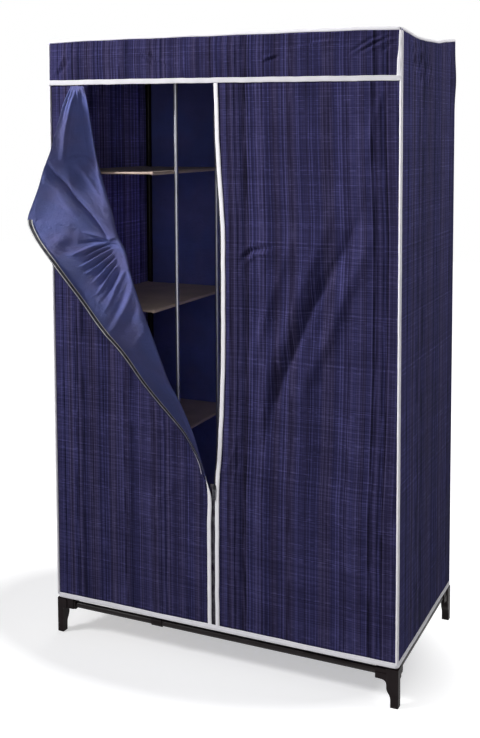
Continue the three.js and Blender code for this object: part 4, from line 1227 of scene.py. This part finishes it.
def curve_through(points, wanted):
    """Centripetal curve through the points, read at shares of its length."""
    points = np.asarray(points, float)
    whole = np.vstack([2 * points[0] - points[1], points, 2 * points[-1] - points[-2]])
    steps = np.maximum(np.linalg.norm(np.diff(whole, axis=0), axis=1) ** 0.5, 1e-6)
    u = np.linspace(0, 1, 13)[:, None]
    traced = []
    for index in range(1, len(whole) - 2):
        a, b, c, d = whole[index - 1 : index + 3]
        before, here, after = steps[index - 1 : index + 2]
        out = ((b - a) / before - (c - a) / (before + here) + (c - b) / here) * here
        into = ((c - b) / here - (d - b) / (here + after) + (d - c) / after) * here
        ends = (2 * u**3 - 3 * u**2 + 1) * b + (3 * u**2 - 2 * u**3) * c
        piece = ends + (u**3 - 2 * u**2 + u) * out + (u**3 - u**2) * into
        traced.append(piece[1 if traced else 0 :])
    traced = np.vstack(traced)
    lengths = path_lengths(traced)
    return read_along(traced, lengths, np.asarray(wanted, float) * lengths[-1])


def flap_points(shares):
    """The folded corner's cloth as rows of points from its root to its free edge."""
    rows = []
    ends = curve_through(tight_crest(), shares), curve_through(FREE_EDGE, shares)
    for t, (crest_x, depth, crest_z), (free_x, out, free_z) in zip(shares, *ends):
        root_z = between(FOLD_TOP[1], FOLD_FOOT[1], t)
        root = float(root_x(root_z))
        near = np.array([crest_x - 6, FLAP_MIDDLE - 1.8 * depth, crest_z])
        far = np.array([free_x, FLAP_MIDDLE - out, free_z])
        swag = np.array([0, 12 * math.sin(math.pi * t), 0])
        behind = [
            (root, FLAP_MIDDLE, root_z),
            (between(root, crest_x, 0.5), FLAP_MIDDLE - 0.25 * depth, (root_z + crest_z) / 2),
            (crest_x - 1.2, FLAP_MIDDLE - 0.62 * depth, crest_z),
            (crest_x, FLAP_MIDDLE - depth, crest_z),
        ]
        front = [
            behind[-1],
            (crest_x - 1.6, FLAP_MIDDLE - 1.4 * depth, crest_z),
            near,
            *(between(near, far, share) + swag * math.sin(math.pi * share) for share in (1 / 3, 2 / 3)),
            far,
        ]
        behind = curve_through(behind, np.linspace(0, 1, BEHIND_COLUMNS + 1))
        front = curve_through(front, np.linspace(0, 1, FLAP_COLUMNS + 1 - BEHIND_COLUMNS))
        rows.append(np.vstack([behind[:-1], front]))
    return np.array(rows)


def flap_surface():
    """The same rows with their pleat, gathers and creases."""
    shares = flap_shares()
    points = flap_points(shares)
    t = shares[:, None]
    # How far each point lies across the front, from the crest to the free edge
    q = np.clip((np.arange(FLAP_COLUMNS + 1) - BEHIND_COLUMNS) / (FLAP_COLUMNS - BEHIND_COLUMNS), 0, 1)[None, :]
    x, z = points[..., 0], points[..., 2]
    out = FLAP_MIDDLE - points[..., 1]
    gathers = sum(height * hump(q, place, width) for place, width, height in GATHERS)
    push = gathers * (1 - ease(t, 0.02, 0.12))
    # One deep pleat down to z 1218: its left side stands out, and from there the cloth slopes away
    step = np.interp(t, *PLEAT)
    slack = ease(step - q, 0.02, 0.3)
    pleat = ease(t, 0.005, 0.05) * (1 - np.clip((t - 0.168 + 0.05 * slack) / (0.019 + 0.17 * slack), 0, 1) ** 2)
    inside = ease(step + 0.008 - q, 0.0, 0.016)
    slope = ease(step - q, 0.0, 0.52) * ease(q, 0.0, 0.13)
    push = push - pleat * inside * (5.0 * ease(q, 0.0, 0.3) + 15.0 * slope)
    push = push + pleat * (1 - inside) * 7.0 * hump(q, step, 0.12)
    push = push + creases(x, z, FLAP_CREASES)
    push = push + 1.6 * wander(x, z, 42, 1.2) * ease(t, 0.05, 0.3) * (1 - ease(t, 0.8, 1.0))
    # Beside the corner the cloth swells out, and under it it falls back towards the door
    for centre_x, centre_z, wide, tall, height in SWELLS:
        push = push + height * hump(x, centre_x, wide) * hump(z, centre_z, tall)
    push = np.maximum(push, -0.75 * np.maximum(out - 3, 0))
    held = between(0.25, 1, ease(1 - q, 0.0, 0.08))
    points[..., 1] -= push * ease(q, 0.0, 0.1) * held * ease(t, 0.0, 0.02)
    return points


class WARDROBE_OT_left_flap(bpy.types.Operator):
    """Makes the left door's corner, folded out with its lining showing, with its tape and binding"""

    bl_idname = "wardrobe.left_flap"
    bl_label = "Folded corner"

    def execute(self, context):
        points = flap_surface()
        widths = np.array([path_lengths(row) for row in points])
        middle_row = path_lengths(points[:, (FLAP_COLUMNS + 1) // 2])

        def place(s, t):
            column = np.rint((1 - s) * FLAP_COLUMNS).astype(int)
            row = np.rint((1 - t) * FLAP_ROWS).astype(int)
            return *points[row, column].T, widths[row, column], 1400 - middle_row[row]

        piece = make_cloth("cloth_left_flap", FLAP_COLUMNS, FLAP_ROWS, place, "door_lining", "navy_cloth")
        strips = edge_strips(points)
        sew(piece, None, (0.362, 0.96), "left_door_corner", slot="lining_cloth", area=0.174, with_pieces=strips)
        bend_over_left_fold(piece)
        return {"FINISHED"}


def bend_over_left_fold(piece):
    """Bakes the piece's placement into its mesh."""
    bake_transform(piece)


def edge_strips(points):
    """The zip tape with its coil on the lining's side of the free edge, and the binding behind."""
    width = size("tape_width")
    normal = unit(np.cross(np.gradient(points, axis=1), np.gradient(points, axis=0)))
    # The strips start below the header's band
    points, out = points[8:], normal[8:, -3]
    centre = points[:, -1]
    inner = []
    for row in points[:, ::-1]:
        away = path_lengths(row)
        inner.append([np.interp(min(width - 0.8, away[-1] * 0.5), away, row[:, axis]) for axis in range(3)])
    inward = unit(np.array(inner) - centre)
    out = unit(out - inward * np.sum(out * inward, axis=1, keepdims=True))
    if out[:, 1].mean() > 0:
        out = -out
    lengths = path_lengths(centre)
    keep = np.linspace(0, lengths[-1], 220)
    centre, inward, out = (read_along(values, lengths, keep) for values in (centre, inward, out))
    inward, out = unit(inward), unit(out)
    # Above the corner the tape is turned in behind the cloth; from the corner down it lies on the lining
    turned = ease(centre[:, 2], 1052, 1084)[:, None]
    narrow = 1 - 0.82 * ease(keep, keep[-1] - 70, keep[-1])
    middle = centre + inward * (width * 0.43 + 1.4 * turned) + out * (1.5 - 4.3 * turned)
    tape = ribbon("tape_left_flap", middle, inward, out, width * narrow, 1.2, "zip_tape")
    trim(tape, None, "zip_tape", "left_corner_zip_tape")
    middle = centre + inward * (1.2 + 2.6 * turned) - out * (2.0 + 0.6 * turned)
    teeth = coil("coil_left_flap", middle, inward, out, 3.2, 2.0, "zip_coil")
    trim(teeth, None, "zip_tape")
    # It stops where the left door's own binding begins
    above = keep < keep[-1] - 17
    middle = centre + inward * (width * 0.8 + 1.5 * turned) - out * (2.4 + 2.0 * turned)
    wide = width * 0.8 * (1 - 0.9 * ease(keep, keep[-1] - 120, keep[-1] - 30))
    white = ribbon("binding_left_flap", middle[above], inward[above], out[above], wide[above], 1.6, "white_binding")
    trim(white, None, "white_binding", "left_corner_binding")
    for strip in (tape, teeth, white):
        bend_over_left_fold(strip)
    return [tape, teeth, white]


# Bindings, pipings and zip


def ring_path(inset, corner, step=6.0):
    """A rounded rectangle round the cover, seen from above, with the way out at each point."""
    half_x, half_y = HALF_WIDTH - inset, HALF_DEPTH - inset
    points, outs = [], []
    for x, y, start in ((half_x, -half_y, -90), (half_x, half_y, 0), (-half_x, half_y, 90), (-half_x, -half_y, 180)):
        centre = np.array([x - math.copysign(corner, x), y - math.copysign(corner, y)])
        for angle in np.radians(np.linspace(start, start + 90, 7)):
            outs.append(np.array([math.cos(angle), math.sin(angle)]))
            points.append(centre + outs[-1] * corner)
    full, ways = [], []
    for a, b, out_a, out_b in zip(points, points[1:] + points[:1], outs, outs[1:] + outs[:1]):
        count = max(1, int(np.linalg.norm(b - a) / step))
        for share in np.arange(count) / count:
            full.append(between(a, b, share))
            ways.append(between(out_a, out_b, share))
    (x, y), (out_x, out_y) = np.array(full).T, unit(ways).T
    return x, y, line(out_x, out_y, 0.0)


class WARDROBE_OT_bindings(bpy.types.Operator):
    """Makes the piping round the roof and down the front corners, the header's band and the hem"""

    bl_idname = "wardrobe.bindings"
    bl_label = "Bindings"

    def execute(self, context):
        # Round the roof: it hangs along the sides and puckers at the front corners
        x, y, out = ring_path(3.4, 9)
        along_side = ease(np.abs(x), HALF_WIDTH - 12, HALF_WIDTH - 4)
        z = TOP_Z - 4.0 - side_drop(y) * along_side - 2.0 * (1 - along_side) * ease(np.abs(x), 300, 450) * (y < 0)
        middle = line(x, y, z + 0.4 * np.sin(x / 23.0 + y / 17.0))
        tall = 7.6 - 1.4 * along_side
        roof = ribbon("piping_roof", middle, (0, 0, 1), out, tall, 6.0, "white_piping", closed=True, square=2.4)
        trim(roof, "cabinet", "white_binding", "roof_piping")

        # Down the front corners
        z = np.arange(HEM_TOP - 2, TOP_Z - 8, 6.0)
        wobble = 0.35 * np.sin(z / 37.0) + 0.25 * np.sin(z / 13.0 + 1)
        for side, sign, thick in (("right", 1, size("piping")), ("left", -1, size("piping") * 0.8)):
            x = sign * (HALF_WIDTH - thick / 2 + 0.2 * wobble)
            middle = line(x, -HALF_DEPTH + thick / 2 + 0.3 * wobble, z)
            ways = (sign, 1, 0), (sign, -1, 0)
            piece = ribbon(f"piping_corner_{side}", middle, *ways, thick * 0.95, thick, "white_piping", square=2.2)
            trim(piece, "cabinet", "white_binding", f"corner_piping_{side}")

        # The wider strip on the header's right end, tapering upwards
        z = np.arange(header_edge(444) + 2, TOP_Z - 8, 4.0)
        width = 11.0 - 7.0 * (z - z[0]) / (z[-1] - z[0]) + 0.6 * np.sin(z / 9.0)
        middle = line(HALF_WIDTH - 3.5 - width / 2, DOOR_FRONT - 3.0 - 0.5 * np.sin(z / 7.0), z)
        strip = ribbon("binding_header_corner", middle, ACROSS, FORWARD, width, 2.2, "white_piping")
        trim(strip, "cabinet", "white_binding")

        # The band under the header
        x = np.arange(-HALF_WIDTH + 2.0, HALF_WIDTH - 1.9, 5.0)
        high, thick = size("band_height"), size("binding_thickness")
        z = header_edge(x) + high / 2 + 0.25 * np.sin(x / 19.0) + 0.15 * np.sin(x / 7.0)
        middle = line(x, DOOR_FRONT - 2.4 - 0.35 * np.sin(x / 11.0) - header_flare(x), z)
        band = ribbon("binding_header", middle, (0, 0, 1), FORWARD, high, thick, "white_band", points=16)
        trim(band, "cabinet", "white_binding", "header_binding")

        # The hem all round
        x, y, out = ring_path(2.4, 8)
        wave = 0.5 * np.sin(x / 61.0 + 0.4) + 0.4 * np.sin(y / 47.0) + 0.2 * np.sin((x + y) / 15.0)
        stand = 0.4 * np.sin(x / 33.0) * np.cos(y / 41.0)
        middle = line(x, y, (HEM_LOW + HEM_TOP) / 2 + wave) + out * stand[:, None]
        hem = ribbon("binding_hem", middle, (0, 0, 1), out, 12.2, 3.4, "white_binding", closed=True, points=16)
        trim(hem, "cabinet", "white_binding", "hem_binding")
        return {"FINISHED"}


class WARDROBE_OT_door_edges(bpy.types.Operator):
    """Makes the white bindings on the doors' zipped edges"""

    bl_idname = "wardrobe.door_edges"
    bl_label = "Door edges"

    def execute(self, context):
        wide, thick = size("binding_width"), size("binding_thickness")
        z = np.arange(HEM_TOP - 2, header_edge(10) + 3, 5.0)
        x = right_edge(z) - 1.6 + wide / 2 + 0.2 * np.sin(z / 16.0)
        push = np.maximum(right_door_push(right_edge(z) + wide, z) * 0.9, 0)
        middle = line(x, DOOR_FRONT - 1.25 - push - 0.2 * np.sin(z / 9.0), z)
        across = line(1.0, 0.0, -np.gradient(x, z))
        edge = ribbon("binding_right_door", middle, across, FORWARD, wide, thick, "white_binding", points=16)
        trim(edge, None, "white_binding", "right_door_binding", "right_corner_binding")
        bend_over_fold(edge)

        # Left: it narrows to a point where the cloth starts to fold out
        z = np.concatenate([np.arange(HEM_TOP - 2, 425, 5.0), np.linspace(426, 464, 22)])
        top = ease(z, 400, 464)
        right_side = -7.6 - zip_gap(z) - 13 * ease(z, 400, 470) ** 1.4
        left_side = -7.6 - zip_gap(z) - wide - 5.0 * top**2
        width = np.clip(wide * (1 - 0.93 * ease(z, 408, 464) ** 0.8), 0.6, np.maximum(right_side - left_side, 0.6))
        middle = line((right_side + left_side) / 2, DOOR_FRONT - 0.7 - 3.0 * top - 0.2 * np.sin(z / 9.0), z)
        thick = thick * (1 - 0.5 * top)
        edge = ribbon("binding_left_door", middle, ACROSS, FORWARD, width, thick, "white_binding", points=16)
        trim(edge, "cabinet", "white_binding", "left_door_binding")
        return {"FINISHED"}


class WARDROBE_OT_zip(bpy.types.Operator):
    """Makes the closed zip, and the open tape with its coil on the right door"""

    bl_idname = "wardrobe.zip"
    bl_label = "Zip"

    def execute(self, context):
        z = np.arange(HEM_TOP - 2, FOLD_FOOT[1] + 6, 5.0)
        # The tape reaches behind both doors' cloth
        tape = ribbon("tape_closed_zip", line(-3.2, DOOR_FRONT + 2.2, z), ACROSS, FORWARD, 19.0, 1.4, "zip_closed")
        trim(tape, "cabinet", "zip_tape", "closed_zip")
        teeth = coil("coil_closed_zip", line(0.0, DOOR_FRONT + 0.7, z), ACROSS, FORWARD, 5.4, 2.0, "zip_closed")
        trim(teeth, "cabinet", "zip_tape")

        z = np.arange(FOLD_FOOT[1] + 9, header_edge(0) + 2, 5.0)
        # Near the header it lies back behind the binding, clear of the slider at the top of its travel
        back = ease(z, 1310, 1350)
        push = np.maximum(right_door_push(right_edge(z) + 6, z) * 0.9, 0)
        middle = line(right_edge(z) - 3.0 + 2.4 * back, DOOR_FRONT + 0.5 + back - push * (1 - back), z)
        tape = ribbon("tape_right_door", middle, ACROSS, FORWARD, 5.4, 1.3, "zip_tape")
        trim(tape, None, "zip_tape", "right_corner_zip_tape")
        bend_over_fold(tape)
        teeth = coil("coil_right_door", middle + np.array([-2.2, -0.3, 0]), ACROSS, FORWARD, 3.0, 2.2, "zip_coil")
        trim(teeth, None, "zip_tape")
        bend_over_fold(teeth)
        return {"FINISHED"}


STEPS = (
    WARDROBE_OT_stage,
    WARDROBE_OT_frame_finishes,
    WARDROBE_OT_shelves,
    WARDROBE_OT_side_panels,
    WARDROBE_OT_back,
    WARDROBE_OT_roof,
    WARDROBE_OT_header,
    WARDROBE_OT_right_door,
    WARDROBE_OT_left_door,
    WARDROBE_OT_left_flap,
    WARDROBE_OT_bindings,
    WARDROBE_OT_door_edges,
    WARDROBE_OT_zip,
)


class WARDROBE_PT_pieces(bpy.types.Panel):
    """Lists the wardrobe's sizes, colours and pieces"""

    bl_idname = "WARDROBE_PT_pieces"
    bl_label = "Fabric wardrobe"
    bl_space_type = "VIEW_3D"
    bl_region_type = "UI"
    bl_category = "Wardrobe"

    def draw(self, context):
        layout = self.layout
        for group in (context.scene.wardrobe_sizes, context.scene.wardrobe_colours):
            box = layout.box()
            for name in group.__annotations__:
                box.prop(group, name)
        for step in STEPS:
            layout.operator(step.bl_idname)


CLASSES = (WardrobeSizes, WardrobeColours, *STEPS, WARDROBE_PT_pieces)


def register():
    for made in CLASSES:
        bpy.utils.register_class(made)
    bpy.types.Scene.wardrobe_sizes = PointerProperty(type=WardrobeSizes)
    bpy.types.Scene.wardrobe_colours = PointerProperty(type=WardrobeColours)


def unregister():
    del bpy.types.Scene.wardrobe_colours
    del bpy.types.Scene.wardrobe_sizes
    for made in reversed(CLASSES):
        bpy.utils.unregister_class(made)


def main():
    register()
    for step in STEPS:
        group, name = step.bl_idname.split(".")
        result = getattr(getattr(bpy.ops, group), name)()
        if result != {"FINISHED"}:
            raise RuntimeError(f"{step.bl_label} did not finish")
    bpy.context.view_layer.update()


if __name__ == "__main__":
    main()
